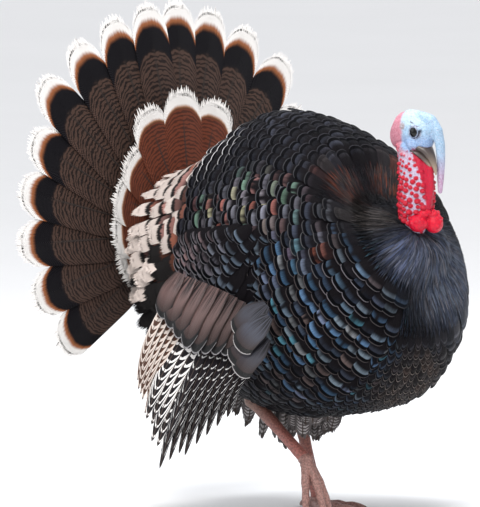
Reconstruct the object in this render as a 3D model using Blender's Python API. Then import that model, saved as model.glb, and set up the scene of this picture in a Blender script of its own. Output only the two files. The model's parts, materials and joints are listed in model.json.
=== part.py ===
"""A life-size turkey decoy: a gobbler in full strut, built as separate pieces with real joints.

Metres. +X is the way the bird faces, +Y is its left and +Z is up. The origin is on the ground,
under the middle of the whole decoy.
"""
import functools
import math

import bmesh
import bpy
from mathutils import Vector

FORWARD = Vector((1.0, 0.0, 0.0))
LEFT = Vector((0.0, 1.0, 0.0))
UP = Vector((0.0, 0.0, 1.0))

# ---------------------------------------------------------------- driving dimensions
GAP = 0.0005  # clearance between pieces that meet
RUN_GAP = 0.0001  # radial clearance of a pin that turns in its hole
PIN_SIDES = 24

# Body: a squarish ellipsoid about BODY_CENTRE, with swellings and hollows.
BODY_CENTRE = Vector((0.035, 0.0, 0.440))
BODY_HALF = (0.287, 0.228, 0.257)  # half length, half width, half height
BODY_SQUARENESS = 2.1
BODY_SWELLS = (  # name, direction from the centre, height as a share of the radius, breadth
    ("right breast", (0.82, -0.42, -0.25), 0.045, 0.46),
    ("left breast", (0.82, 0.42, -0.25), 0.045, 0.46),
    ("right keel", (0.65, -0.25, -0.70), 0.075, 0.30),
    ("left keel", (0.65, 0.25, -0.70), 0.075, 0.30),
    ("breast cleft", (1.00, 0.00, -0.15), -0.07, 0.15),
    ("neck hollow", (0.80, 0.00, 0.68), -0.29, 0.48),
    ("back hump", (-0.32, 0.00, 1.00), 0.10, 0.40),
    ("right rump", (-0.80, -0.45, 0.35), 0.06, 0.45),
    ("left rump", (-0.80, 0.45, 0.35), 0.06, 0.45),
    ("under tail", (-0.80, 0.00, -0.60), -0.07, 0.50),
)
NECK_BASE = Vector((0.277, 0.0, 0.530))

COAT_THICKNESS = 0.0160  # padded feather coat over the shell
SHELL_OFFSET = -COAT_THICKNESS - 0.0070  # the coat hangs a little clear of the shell
SHELL_THICKNESS = 0.0040
PANEL_CELL = 10.0  # degrees between the rows and columns of a body panel
PANEL_SEAM = 0.15  # degrees that a panel stays back from its nominal edge
COAT_PANELS = (  # name, polar range, azimuth range, look
    ("neck_ruff", (18.0, 36.0), (0.0, 360.0), "ruff"),
    ("breast_coat", (36.0, 96.0), (118.0, 242.0), "breast"),
    ("back_coat", (36.0, 104.0), (-58.0, 58.0), "plumage"),
    ("rump_coat", (104.0, 150.0), (-58.0, 58.0), "rump"),
    ("flank_coat_left", (36.0, 150.0), (58.0, 118.0), "plumage"),
    ("flank_coat_right", (36.0, 150.0), (-118.0, -58.0), "plumage"),
    ("belly_coat", (96.0, 170.0), (118.0, 242.0), "belly"),
)
SHELL_POLAR = (22.0, 149.0)

# Inner frame
SPINE_BOARD = ((-0.203, 0.192), (-0.035, 0.035), (0.425, 0.443))  # ranges in x, y and z
SPINE_TOP = SPINE_BOARD[2][1]

# Neck and head
NECK_POST_RADIUS = 0.0120
NECK_POST_SIDES = 32
NECK_POST_RANGE = (0.472, 0.560)
NECK_SOCKET_RANGE = (0.476, 0.516)
NECK_SOCKET_WALL = 0.0055
NECK_SOCKET_ARM_HALF = 0.0140
NECK_SOCKET_ARM_LAP = 0.060  # how far the arm reaches back over the board
NECK_PROFILE = (  # height, ahead of the post's axis, half width, half depth
    (0.534, 0.002, 0.0200, 0.0200),
    (0.552, 0.007, 0.0245, 0.0280),
    (0.590, 0.015, 0.0250, 0.0330),
    (0.635, 0.018, 0.0240, 0.0320),
    (0.660, 0.014, 0.0235, 0.0290),
    (0.684, 0.013, 0.0205, 0.0270),
)
HEAD_CENTRE = Vector((0.292, 0.0, 0.706))
HEAD_PROFILE = (  # ahead of the head's middle, above it, half width, half depth
    (-0.042, 0.002, 0.0100, 0.0120),
    (-0.034, 0.004, 0.0200, 0.0240),
    (-0.017, 0.004, 0.0265, 0.0345),
    (0.004, 0.000, 0.0275, 0.0370),
    (0.020, -0.008, 0.0235, 0.0310),
    (0.031, -0.017, 0.0170, 0.0220),
    (0.038, -0.024, 0.0120, 0.0150),
)
HEAD_SIDES = 14
EYE_RADIUS = 0.0085
EYE_FLATNESS = 0.6
EYE_PLACE = Vector((0.311, 0.0225, 0.708))
BEAK_ROOT = Vector((0.318, 0.0, 0.689))
UPPER_BEAK = (  # ahead of the root, aside, above it, half width, half depth
    (0.000, 0.000, 0.0000, 0.0125, 0.0090),
    (0.016, 0.000, -0.0120, 0.0100, 0.0080),
    (0.029, 0.000, -0.0280, 0.0062, 0.0055),
    (0.033, 0.000, -0.0450, 0.0028, 0.0028),
)
LOWER_BEAK = (
    (-0.006, 0.000, -0.0155, 0.0100, 0.0052),
    (0.010, 0.000, -0.0265, 0.0080, 0.0044),
    (0.020, 0.000, -0.0400, 0.0040, 0.0026),
)
SNOOD = (
    (-0.006, 0.008, 0.0320, 0.0062, 0.0060),
    (0.012, 0.014, 0.0270, 0.0064, 0.0062),
    (0.024, 0.018, 0.0080, 0.0062, 0.0062),
    (0.026, 0.021, -0.0310, 0.0058, 0.0058),
    (0.022, 0.021, -0.0880, 0.0040, 0.0040),
)
BULB_CENTRE_HEIGHT = 0.546
BULBS = (  # name, offset from the post's axis, radius
    ("right_bulb", (0.034, -0.0130, 0.003), 0.0165),
    ("left_bulb", (0.047, 0.0110, 0.000), 0.0155),
    ("upper_bulb", (0.044, -0.0020, 0.022), 0.0120),
)

# Tail fan
TAIL_HUB = Vector((-0.313, 0.0, 0.478))
TAIL_LEAN = 8.0  # degrees backwards
TAIL_PER_SIDE = 9
TAIL_FIRST_ANGLE = 5.5
TAIL_ANGLE_STEP = 12.4
TAIL_ANGLE_GROWTH = 0.24
TAIL_LENGTH = 0.421
TAIL_OUTER_LENGTH = 0.368
TAIL_FEATHER_WIDTH = 0.083
COVERT_ANGLES = (0.0, 24.0, -24.0, 48.0, -48.0)
COVERT_LENGTH = 0.245
COVERT_WIDTH = 0.062
FEATHER_THICKNESS = 0.0009
FEATHER_PITCH = 0.0015  # from one feather's layer to the next along the bolt
BOLT_RADIUS = 0.0030
BOLT_HEAD_RADIUS = 0.0075
BOLT_HEAD_HEIGHT = 0.0040
NUT_RADIUS = 0.0065
NUT_HEIGHT = 0.0075
EYELET_RADII = (BOLT_RADIUS + RUN_GAP, 0.0075)
EYELET_SIDES = 16
VANE_STATIONS = 8
VANE_START = 0.16  # share of the feather's length that is bare quill
QUILL_HALF = 0.0030

# Tail tilt hinge, behind and below the hub
TILT_AXIS = Vector((-0.329, 0.0, 0.423))
TILT_BARREL_RADIUS = 0.0085
TILT_PIN_RADIUS = 0.0040
TILT_BARREL_HALF = 0.0180
TILT_EAR_THICKNESS = 0.0060
TILT_BARREL_ROOM = 0.0240  # from the hinge's axis to the bracket's plate
TILT_BRACKET_LAP = 0.0700
TILT_BRACKET_THICKNESS = 0.0050
FAN_PLATE_THICKNESS = 0.0040
FAN_PLATE_OUTLINE = (  # above the hub, half width
    (-0.050, 0.0165),
    (-0.018, 0.0165),
    (-0.006, 0.0300),
    (0.012, 0.0300),
    (0.030, 0.0180),
)

# Wings: both are given as the right wing; the left one is mirrored and held closer to the body.
WING_OFFSET = 0.0025
WING_THICKNESS = 0.0080
WING_TOP_FRONT = Vector((0.152, -0.210, 0.540))
WING_TOP_REAR = Vector((-0.108, -0.235, 0.505))
WING_MIDDLE_REAR = Vector((-0.085, -0.255, 0.385))
WING_MIDDLE_FRONT = Vector((0.147, -0.240, 0.318))
WING_LOW = {  # bottom edge of each wing: rear corner, front corner, drop between them
    "right": (Vector((-0.098, -0.312, 0.232)), Vector((0.082, -0.292, 0.185)), 0.086),
    "left": (Vector((-0.130, -0.280, 0.262)), Vector((0.060, -0.266, 0.238)), 0.040),
}
WING_FLIGHT_BOW = 0.014
WING_SEAM = 0.060  # share of the flight panel left open under the arm
WING_HINGE_HALF = 0.011
WING_HINGE_RISE = 0.006  # hinge's axis above the wing's top edge
WING_HINGE_OFFSET = 0.0076
WING_PIN_RADIUS = 0.0026
WING_BARREL_RADIUS = 0.0056
WING_LUG_LENGTH = 0.016
WING_LUG_HALF_DEPTH = 0.003
WING_EAR_THICKNESS = 0.0045
WING_EAR_HALF_DEPTH = 0.0052
WING_BRACKET_HALF = (0.009, 0.002)
WING_BRACKET_DEPTH = 0.0181  # from the hinge's axis to the bracket's plate
WING_POCKET_HALF = (0.0125, 0.026)
WING_FORK_ROOM_HALF = (0.0075, 0.012)

# Legs and feet
RIGHT_HIP = Vector((0.017, -0.060, SPINE_BOARD[2][0] - 0.030))
RIGHT_HOCK = Vector((-0.053, -0.072, 0.205))
RIGHT_ANKLE = Vector((0.091, -0.078, 0.108))
LEFT_HIP = Vector((0.007, 0.050, SPINE_BOARD[2][0] - 0.030))
LEFT_HOCK = Vector((-0.065, 0.050, 0.190))
LEFT_ANKLE = Vector((-0.013, 0.050, 0.030))
SHANK_RADIUS = 0.0085
TOE_SIDES = 8
LEFT_TOES = (  # name, angle from straight ahead in degrees outwards, length
    ("middle", 0.0, 0.118),
    ("inner", -36.0, 0.090),
    ("outer", 36.0, 0.096),
    ("hind", 168.0, 0.055),
)
RIGHT_TOES = (("middle", 6.0, 0.122), ("inner", -28.0, 0.118), ("outer", 44.0, 0.116))
KNEE_FORWARD = 0.012
THIGH_RADII = (0.0190, 0.0210)
HIP_ROD_RADIUS = 0.0045
PALM_RADII = (0.0160, 0.0150, 0.0180)
TOE_RADII = (0.0095, 0.0062, 0.0030)

LOOKS = {  # colour, roughness, metallic
    "plumage": ((0.030, 0.028, 0.030), 0.40, 0.0),
    "ruff": ((0.070, 0.066, 0.064), 0.45, 0.0),
    "breast": ((0.060, 0.068, 0.078), 0.40, 0.0),
    "rump": ((0.420, 0.330, 0.250), 0.55, 0.0),
    "belly": ((0.045, 0.040, 0.038), 0.60, 0.0),
    "wing": ((0.110, 0.080, 0.065), 0.45, 0.0),
    "flight": ((0.330, 0.310, 0.290), 0.60, 0.0),
    "tail": ((0.130, 0.070, 0.040), 0.55, 0.0),
    "covert": ((0.220, 0.070, 0.030), 0.55, 0.0),
    "shell": ((0.050, 0.050, 0.052), 0.60, 0.0),
    "wood": ((0.420, 0.300, 0.180), 0.65, 0.0),
    "steel": ((0.560, 0.570, 0.580), 0.35, 0.9),
    "nylon": ((0.040, 0.040, 0.042), 0.50, 0.0),
    "skin_red": ((0.620, 0.060, 0.060), 0.40, 0.0),
    "skin_pale": ((0.420, 0.560, 0.680), 0.45, 0.0),
    "beak": ((0.330, 0.270, 0.200), 0.40, 0.0),
    "eye": ((0.020, 0.012, 0.008), 0.08, 0.0),
    "leg": ((0.460, 0.230, 0.190), 0.55, 0.0),
}


# ---------------------------------------------------------------- the body's surface
NECK_WAY = (NECK_BASE - BODY_CENTRE).normalized()
BACK_WAY = Vector((-NECK_WAY.z, 0.0, NECK_WAY.x))


def body_way(polar, azimuth):
    """Direction at a polar angle from the neck; azimuth 0 runs up the back, 90 down the left flank."""
    polar = math.radians(polar)
    azimuth = math.radians(azimuth)
    round_way = math.cos(azimuth) * BACK_WAY + math.sin(azimuth) * LEFT
    return (math.cos(polar) * NECK_WAY + math.sin(polar) * round_way).normalized()


def body_radius(way):
    """Distance from the body's centre to its feather surface in a direction."""
    shares = [(abs(way[i]) / BODY_HALF[i]) ** BODY_SQUARENESS for i in range(3)]
    swell = 1.0
    for _name, toward, height, breadth in BODY_SWELLS:
        swell += height * math.exp(-((way.angle(Vector(toward)) / breadth) ** 2))
    return swell * sum(shares) ** (-1.0 / BODY_SQUARENESS)


def on_body(way, offset):
    """Point on the body's surface in a direction, moved outwards by offset."""
    way = way.normalized()
    return BODY_CENTRE + way * (body_radius(way) + offset)


# ---------------------------------------------------------------- making solids
def make_material(name, look):
    colour, roughness, metallic = LOOKS[look]
    material = bpy.data.materials.new(name + "_finish")
    material.use_nodes = True
    shader = material.node_tree.nodes["Principled BSDF"]
    shader.inputs["Base Color"].default_value = (*colour, 1.0)
    shader.inputs["Roughness"].default_value = roughness
    shader.inputs["Metallic"].default_value = metallic
    return material


def add_piece(name, shape, look, origin=Vector()):
    """Turn a bmesh in world coordinates into an object whose own origin is at the given point."""
    bmesh.ops.recalc_face_normals(shape, faces=shape.faces)
    bmesh.ops.translate(shape, verts=shape.verts, vec=-origin)
    mesh = bpy.data.meshes.new(name)
    shape.to_mesh(mesh)
    shape.free()
    mesh.shade_smooth()
    mesh.set_sharp_from_angle(angle=math.radians(38.0))
    mesh.materials.append(make_material(name, look))
    piece = bpy.data.objects.new(name, mesh)
    piece.location = origin
    bpy.context.scene.collection.objects.link(piece)
    return piece


def add_helper(name, shape):
    """An operand of a Boolean modifier, which isn't a piece of the decoy."""
    helper = add_piece(name, shape, "nylon")
    helper.hide_render = True
    helper.display_type = "WIRE"
    return helper


def boolean(piece, helper, operation):
    modifier = piece.modifiers.new(operation.title() + " " + helper.name, "BOOLEAN")
    modifier.operation = operation
    modifier.solver = "EXACT"
    modifier.object = helper


def cut(piece, name, shape):
    boolean(piece, add_helper(name, shape), "DIFFERENCE")


def fuse(piece, name, shape):
    boolean(piece, add_helper(name, shape), "UNION")


def block(x_range, y_range, z_range):
    shape = bmesh.new()
    corners = [[[shape.verts.new((x, y, z)) for z in z_range] for y in y_range] for x in x_range]
    flat = [corners[i][j][k] for i in (0, 1) for j in (0, 1) for k in (0, 1)]
    for face in ((0, 1, 3, 2), (4, 6, 7, 5), (0, 4, 5, 1), (2, 3, 7, 6), (0, 2, 6, 4), (1, 5, 7, 3)):
        shape.faces.new([flat[i] for i in face])
    return shape


def across(way, reference):
    """The part of reference that is square to way, at unit length."""
    return (reference - way * reference.dot(way)).normalized()


def tube(stations, sides=12, reference=LEFT, grow=0.0):
    """A closed tube through stations of (centre, half width along the reference, half depth)."""
    shape = bmesh.new()
    rings = []
    last = len(stations) - 1
    for index, (centre, wide, deep) in enumerate(stations):
        way = stations[min(index + 1, last)][0] - stations[max(index - 1, 0)][0]
        way.normalize()
        side = across(way, reference)
        normal = way.cross(side)
        end = -1.0 if index == 0 else float(index == last)
        middle = centre + way * grow * end
        ring = []
        for corner in range(sides):
            turn = math.tau * (corner + 0.5) / sides
            arm = side * math.cos(turn) * (wide + grow) + normal * math.sin(turn) * (deep + grow)
            ring.append(shape.verts.new(middle + arm))
        rings.append(ring)
    for near, far in zip(rings, rings[1:]):
        for corner in range(sides):
            after = (corner + 1) % sides
            shape.faces.new((near[corner], near[after], far[after], far[corner]))
    shape.faces.new(rings[0])
    shape.faces.new(rings[-1])
    return shape


def rod(start, end, radius, sides=16, grow=0.0):
    reference = UP if abs((end - start).normalized().z) < 0.7 else FORWARD
    return tube(((start, radius, radius), (end, radius, radius)), sides, reference, grow)


def ball(centre, radii, grow=0.0, rings=7, sides=12):
    shape = bmesh.new()
    bmesh.ops.create_uvsphere(shape, u_segments=sides, v_segments=rings, radius=1.0)
    for vertex in shape.verts:
        vertex.co = centre + Vector([vertex.co[i] * (radii[i] + grow) for i in range(3)])
    return shape


def thick_sheet(outer, inner, wrap=False):
    """A closed solid between two equal grids of points, joined round their edges."""
    shape = bmesh.new()
    top = [[shape.verts.new(point) for point in row] for row in outer]
    bottom = [[shape.verts.new(point) for point in row] for row in inner]
    rows = len(top)
    columns = len(top[0])
    spans = columns if wrap else columns - 1
    for row in range(rows - 1):
        for column in range(spans):
            after = (column + 1) % columns
            for grid in (top, bottom):
                corners = (grid[row][column], grid[row][after])
                shape.faces.new((*corners, grid[row + 1][after], grid[row + 1][column]))
    for row in (0, rows - 1):
        for column in range(spans):
            after = (column + 1) % columns
            shape.faces.new((top[row][column], top[row][after], bottom[row][after], bottom[row][column]))
    if not wrap:
        for column in (0, columns - 1):
            for row in range(rows - 1):
                corners = (top[row][column], top[row + 1][column])
                shape.faces.new((*corners, bottom[row + 1][column], bottom[row][column]))
    return shape


def spread(low, high, count, inclusive=True):
    steps = count if inclusive else count + 1
    return [low + (high - low) * index / (steps - 1) for index in range(count)]


# ---------------------------------------------------------------- shell, coat and inner frame
def body_panel(polar, azimuth, offset, thickness):
    wrap = azimuth[1] - azimuth[0] >= 360.0
    side_seam = 0.0 if wrap else PANEL_SEAM
    rows = max(2, round((polar[1] - polar[0]) / PANEL_CELL)) + 1
    columns = max(3, round((azimuth[1] - azimuth[0]) / PANEL_CELL)) + 1
    polars = spread(polar[0] + PANEL_SEAM, polar[1] - PANEL_SEAM, rows)
    azimuths = spread(azimuth[0] + side_seam, azimuth[1] - side_seam, columns, not wrap)
    grids = []
    for depth in (offset, offset - thickness):
        grids.append([[on_body(body_way(p, a), depth) for a in azimuths] for p in polars])
    return thick_sheet(*grids, wrap)


def leg_path(hip, hock, ankle):
    """Stations of a leg from hip to ankle: centre, half width, half depth."""
    knee = hip.lerp(hock, 0.45) + FORWARD * KNEE_FORWARD
    return (
        (hip, SHANK_RADIUS, SHANK_RADIUS),
        (knee, *THIGH_RADII),
        (hip.lerp(hock, 0.82), 0.0140, 0.0150),
        (hock, 0.0120, 0.0120),
        (hock.lerp(ankle, 0.12), 0.0095, 0.0100),
        (hock.lerp(ankle, 0.55), SHANK_RADIUS, SHANK_RADIUS),
        (ankle, 0.0090, 0.0090),
    )


def build_body():
    right_leg = leg_path(RIGHT_HIP, RIGHT_HOCK, RIGHT_ANKLE)
    left_leg = leg_path(LEFT_HIP, LEFT_HOCK, LEFT_ANKLE)
    skins = []
    for side, azimuth in (("left", (0.0, 180.0)), ("right", (-180.0, 0.0))):
        shape = body_panel(SHELL_POLAR, azimuth, SHELL_OFFSET, SHELL_THICKNESS)
        skins.append(add_piece("body_shell_" + side, shape, "shell", BODY_CENTRE))
    for name, polar, azimuth, look in COAT_PANELS:
        shape = body_panel(polar, azimuth, 0.0, COAT_THICKNESS)
        skins.append(add_piece(name, shape, look, BODY_CENTRE))
    for skin in skins:
        if skin.name in ("body_shell_right", "belly_coat", "flank_coat_right"):
            cut(skin, skin.name + "_right_leg_hole", tube(right_leg, grow=0.0020))
        if skin.name in ("body_shell_left", "belly_coat", "flank_coat_left"):
            cut(skin, skin.name + "_left_leg_hole", tube(left_leg, grow=0.0020))
    add_piece("spine_board", block(*SPINE_BOARD), "wood", BODY_CENTRE)
    return {skin.name: skin for skin in skins}


# ---------------------------------------------------------------- neck and head
def at_neck(height):
    return Vector((NECK_BASE.x, 0.0, height))


def head_shape(grow=0.0):
    stations = []
    for ahead, above, wide, deep in HEAD_PROFILE:
        stations.append((HEAD_CENTRE + FORWARD * ahead + UP * above, wide, deep))
    return tube(stations, HEAD_SIDES, LEFT, grow)


def neck_shape(grow=0.0):
    stations = [(at_neck(height) + FORWARD * ahead, wide, deep) for height, ahead, wide, deep in NECK_PROFILE]
    return tube(stations, HEAD_SIDES, LEFT, grow)


def face_shape(profile, sides, reference=LEFT, grow=0.0):
    """A tube whose stations are given from the root of the beak."""
    stations = []
    for ahead, aside, above, wide, deep in profile:
        stations.append((BEAK_ROOT + Vector((ahead, aside, above)), wide, deep))
    return tube(stations, sides, reference, grow)


def build_neck_joint():
    axis = at_neck(NECK_SOCKET_RANGE[0])
    bore = NECK_POST_RADIUS + RUN_GAP
    sides = NECK_POST_SIDES
    low, high = NECK_SOCKET_RANGE
    socket = rod(at_neck(low), at_neck(high), bore + NECK_SOCKET_WALL, sides)
    socket = add_piece("neck_socket", socket, "nylon", axis)
    arm_x = (SPINE_BOARD[0][1] - NECK_SOCKET_ARM_LAP, NECK_BASE.x)
    arm_z = (SPINE_TOP + GAP, low + 2.0 * BOLT_RADIUS)
    arm_y = (-NECK_SOCKET_ARM_HALF, NECK_SOCKET_ARM_HALF)
    fuse(socket, "neck_socket_arm", block(arm_x, arm_y, arm_z))
    cut(socket, "neck_socket_bore", rod(at_neck(SPINE_TOP), at_neck(high + NECK_POST_RADIUS), bore, sides))

    bottom, top = NECK_POST_RANGE
    add_piece("neck_post", rod(at_neck(bottom), at_neck(top), NECK_POST_RADIUS, sides), "steel", axis)
    neck = add_piece("neck", neck_shape(), "skin_red", axis)
    cut(neck, "neck_post_hole", rod(at_neck(low), at_neck(top + GAP), NECK_POST_RADIUS + GAP, sides))
    cut(neck, "neck_top_seat", head_shape(GAP))


def build_head():
    axis = at_neck(NECK_SOCKET_RANGE[0])
    head = add_piece("head_shell", head_shape(), "skin_pale", axis)
    radii = (EYE_RADIUS, EYE_FLATNESS * EYE_RADIUS, EYE_RADIUS)
    for side, sign in (("right", -1.0), ("left", 1.0)):
        place = Vector((EYE_PLACE.x, sign * EYE_PLACE.y, EYE_PLACE.z))
        cut(head, "eye_socket_" + side, ball(place, radii, GAP))
        add_piece("eye_" + side, ball(place, radii), "eye", axis)

    upper = add_piece("upper_beak", face_shape(UPPER_BEAK, 10), "beak", axis)
    cut(upper, "upper_beak_root", head_shape(GAP))
    lower = add_piece("lower_beak", face_shape(LOWER_BEAK, 8), "beak", axis)
    cut(lower, "lower_beak_root", head_shape(GAP))
    cut(lower, "beak_bite", face_shape(UPPER_BEAK, 10, grow=GAP))
    cut(lower, "beak_throat", neck_shape(GAP))
    snood = add_piece("snood", face_shape(SNOOD, 8), "skin_red", axis)
    cut(snood, "snood_root", head_shape(GAP))
    cut(snood, "snood_beak_gap", face_shape(UPPER_BEAK, 10, grow=GAP))

    bulbs = None
    for name, offset, radius in BULBS:
        shape = ball(at_neck(BULB_CENTRE_HEIGHT) + Vector(offset), (radius,) * 3)
        if bulbs is None:
            bulbs = add_piece("caruncle_bulbs", shape, "skin_red", axis)
        else:
            fuse(bulbs, name, shape)
    cut(bulbs, "bulb_seat", neck_shape(GAP))


# ---------------------------------------------------------------- tail fan
LEAN = math.radians(TAIL_LEAN)
TAIL_UP = Vector((-math.sin(LEAN), 0.0, math.cos(LEAN)))
TAIL_FRONT = Vector((math.cos(LEAN), 0.0, math.sin(LEAN)))
TAIL_LAYERS = 2 * TAIL_PER_SIDE


def tail_angle(number):
    """Spread of a tail feather from the fan's middle, in degrees; number 0 is the inmost."""
    return TAIL_FIRST_ANGLE + TAIL_ANGLE_STEP * number + TAIL_ANGLE_GROWTH * number * number


def tail_length(number):
    share = (number / (TAIL_PER_SIDE - 1)) ** 3
    return TAIL_LENGTH + (TAIL_OUTER_LENGTH - TAIL_LENGTH) * share


def layer_depth(layer):
    """How far in front of the hub a feather layer lies; layer 0 is the front tail feather."""
    return FEATHER_PITCH * (0.5 * (TAIL_LAYERS - 1) - layer)


def vane_half_width(share, width):
    """Half the feather's width at a share of its vane's length: it widens, then rounds off."""
    widening = 0.22 + 0.78 * math.sin(0.5 * math.pi * min(1.0, share / 0.72)) ** 1.2
    end = max(0.0, (share - 0.80) / 0.20)
    return 0.5 * width * widening * math.sqrt(max(0.06, 1.0 - end * end))


def feather_plate(angle, length, width, layer):
    """A flat feather turned about the hub, with a round eyelet on the bolt."""
    turn = math.radians(angle)
    radial = math.cos(turn) * TAIL_UP + math.sin(turn) * LEFT
    side = -math.sin(turn) * TAIL_UP + math.cos(turn) * LEFT
    middle = TAIL_HUB + TAIL_FRONT * layer_depth(layer)
    vane_start = VANE_START * length
    stations = [(vane_start * 0.8, QUILL_HALF)]
    for share in spread(0.0, 1.0, VANE_STATIONS):
        stations.append((vane_start + share * (length - vane_start), vane_half_width(share, width)))

    shape = bmesh.new()
    layers = []
    for depth in (0.5 * FEATHER_THICKNESS, -0.5 * FEATHER_THICKNESS):
        base = middle + TAIL_FRONT * depth
        rings = []
        for radius in EYELET_RADII:
            ring = []
            for corner in range(EYELET_SIDES):
                around = math.tau * (corner + 0.5) / EYELET_SIDES
                arm = radial * math.cos(around) + side * math.sin(around)
                ring.append(shape.verts.new(base + arm * radius))
            rings.append(ring)
        left_edge = [rings[1][0]]
        right_edge = [rings[1][-1]]
        for along, half in stations:
            left_edge.append(shape.verts.new(base + radial * along + side * half))
            right_edge.append(shape.verts.new(base + radial * along - side * half))
        layers.append((rings, left_edge, right_edge))
        for corner in range(EYELET_SIDES):
            after = (corner + 1) % EYELET_SIDES
            inner, outer = rings
            shape.faces.new((inner[corner], inner[after], outer[after], outer[corner]))
        for near in range(len(stations)):
            corners = (left_edge[near], left_edge[near + 1])
            shape.faces.new((*corners, right_edge[near + 1], right_edge[near]))
    join_outlines(shape, layers)
    return shape


def join_outlines(shape, layers):
    """Close a feather's inner and outer outline between its two faces."""
    outlines = []
    for rings, left_edge, right_edge in layers:
        outer = rings[1][1:-1]
        outlines.append((rings[0], left_edge[::-1] + outer + right_edge))
    for front, back in zip(*outlines):
        for corner in range(len(front)):
            after = (corner + 1) % len(front)
            shape.faces.new((front[corner], front[after], back[after], back[corner]))


def build_tail():
    for number in range(TAIL_PER_SIDE):
        for side, sign, shift in (("right", -1.0, 0), ("left", 1.0, 1)):
            layer = 2 * number + shift
            angle = sign * tail_angle(number)
            shape = feather_plate(angle, tail_length(number), TAIL_FEATHER_WIDTH, layer)
            add_piece(f"tail_feather_{side}_{number + 1}", shape, "tail", TAIL_HUB)
    for number, angle in enumerate(COVERT_ANGLES):
        shape = feather_plate(angle, COVERT_LENGTH, COVERT_WIDTH, number - len(COVERT_ANGLES))
        add_piece(f"tail_covert_{number + 1}", shape, "covert", TAIL_HUB)


def tail_point(up, front, side=0.0):
    return TAIL_HUB + TAIL_UP * up + TAIL_FRONT * front + LEFT * side


def tail_rod(start, end, radius, sides=PIN_SIDES):
    """A rod along the fan bolt's axis, from one distance in front of the hub to another."""
    return rod(tail_point(0.0, start), tail_point(0.0, end), radius, sides)


def build_fan_plate(back, pin_end):
    grids = []
    plate_back = back - FAN_PLATE_THICKNESS
    for depth in (back, plate_back):
        grids.append([[tail_point(up, depth, side * half) for side in (-1.0, 1.0)]
                      for up, half in FAN_PLATE_OUTLINE])
    plate = add_piece("fan_plate", thick_sheet(*grids), "nylon", TILT_AXIS)
    barrel_end = LEFT * TILT_BARREL_HALF
    barrel = rod(TILT_AXIS - barrel_end, TILT_AXIS + barrel_end, TILT_BARREL_RADIUS, PIN_SIDES)
    fuse(plate, "fan_plate_barrel", barrel)
    hole = rod(TILT_AXIS - pin_end, TILT_AXIS + pin_end, TILT_PIN_RADIUS + RUN_GAP, PIN_SIDES)
    cut(plate, "fan_plate_pin_hole", hole)
    hole_ends = (back + FAN_PLATE_THICKNESS, plate_back - FAN_PLATE_THICKNESS)
    cut(plate, "fan_plate_bolt_hole", tail_rod(*hole_ends, BOLT_RADIUS + GAP))
    return plate_back


def build_tail_bracket(pin_end):
    low = SPINE_TOP + GAP
    high = low + TILT_BRACKET_THICKNESS
    ear_start = TILT_BARREL_HALF + GAP
    ear_end = ear_start + TILT_EAR_THICKNESS
    front = TILT_AXIS.x + TILT_BARREL_ROOM
    shape = block((front, SPINE_BOARD[0][0] + TILT_BRACKET_LAP), (-ear_end, ear_end), (low, high))
    bracket = add_piece("tail_bracket", shape, "steel", TILT_AXIS)
    ear_x = (TILT_AXIS.x - TILT_BARREL_RADIUS, front + 2.0 * TILT_EAR_THICKNESS)
    ear_z = (TILT_AXIS.z - TILT_BARREL_RADIUS, high)
    for side, sign in (("right", -1.0), ("left", 1.0)):
        ear_y = sorted((sign * ear_start, sign * ear_end))
        fuse(bracket, "tail_bracket_ear_" + side, block(ear_x, ear_y, ear_z))
    hole = rod(TILT_AXIS - pin_end, TILT_AXIS + pin_end, TILT_PIN_RADIUS + RUN_GAP, PIN_SIDES)
    cut(bracket, "tail_bracket_pin_hole", hole)


def build_tail_mount():
    back = layer_depth(TAIL_LAYERS - 1) - FEATHER_PITCH
    front = layer_depth(-len(COVERT_ANGLES)) + FEATHER_PITCH
    pin_end = LEFT * (TILT_BARREL_HALF + TILT_EAR_THICKNESS + TILT_BRACKET_THICKNESS)
    plate_back = build_fan_plate(back, pin_end)

    shank = tail_rod(plate_back - BOLT_HEAD_HEIGHT, front, BOLT_RADIUS)
    bolt = add_piece("fan_bolt", shank, "steel", TAIL_HUB)
    lap = 0.5 * GAP
    fuse(bolt, "fan_bolt_head", tail_rod(front - lap, front + BOLT_HEAD_HEIGHT, BOLT_HEAD_RADIUS))
    nut = tail_rod(plate_back - GAP - NUT_HEIGHT, plate_back - GAP, NUT_RADIUS, 6)
    fuse(bolt, "fan_bolt_nut", nut)

    build_tail_bracket(pin_end)
    pin = rod(TILT_AXIS - pin_end, TILT_AXIS + pin_end, TILT_PIN_RADIUS, PIN_SIDES)
    add_piece("tail_hinge_pin", pin, "steel", TILT_AXIS)


# ---------------------------------------------------------------- wings
def mirrored(point, sign):
    """A right-wing point as it is for sign -1, or its mirror image for sign +1."""
    return Vector((point.x, -sign * point.y, point.z))


def wing_grid(corners, rows, columns, place):
    """Rows from the top edge to the bottom edge of a four-cornered patch, each point passed to place."""
    top_front, top_rear, low_rear, low_front = corners
    grid = []
    for down in spread(0.0, 1.0, rows):
        front = top_front.lerp(low_front, down)
        rear = top_rear.lerp(low_rear, down)
        grid.append([place(front.lerp(rear, back), down, back) for back in spread(0.0, 1.0, columns)])
    return grid


def wing_solid(corners, rows, columns, sign, place):
    outer = wing_grid(corners, rows, columns, lambda p, down, back: place(p, down, back, WING_THICKNESS))
    inner = wing_grid(corners, rows, columns, lambda p, down, back: place(p, down, back, 0.0))
    grids = [[[mirrored(point, sign) for point in row] for row in grid] for grid in (outer, inner)]
    return thick_sheet(*grids)


def place_arm(point, _down, _back, lift):
    return on_body(point - BODY_CENTRE, WING_OFFSET + lift)


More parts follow.
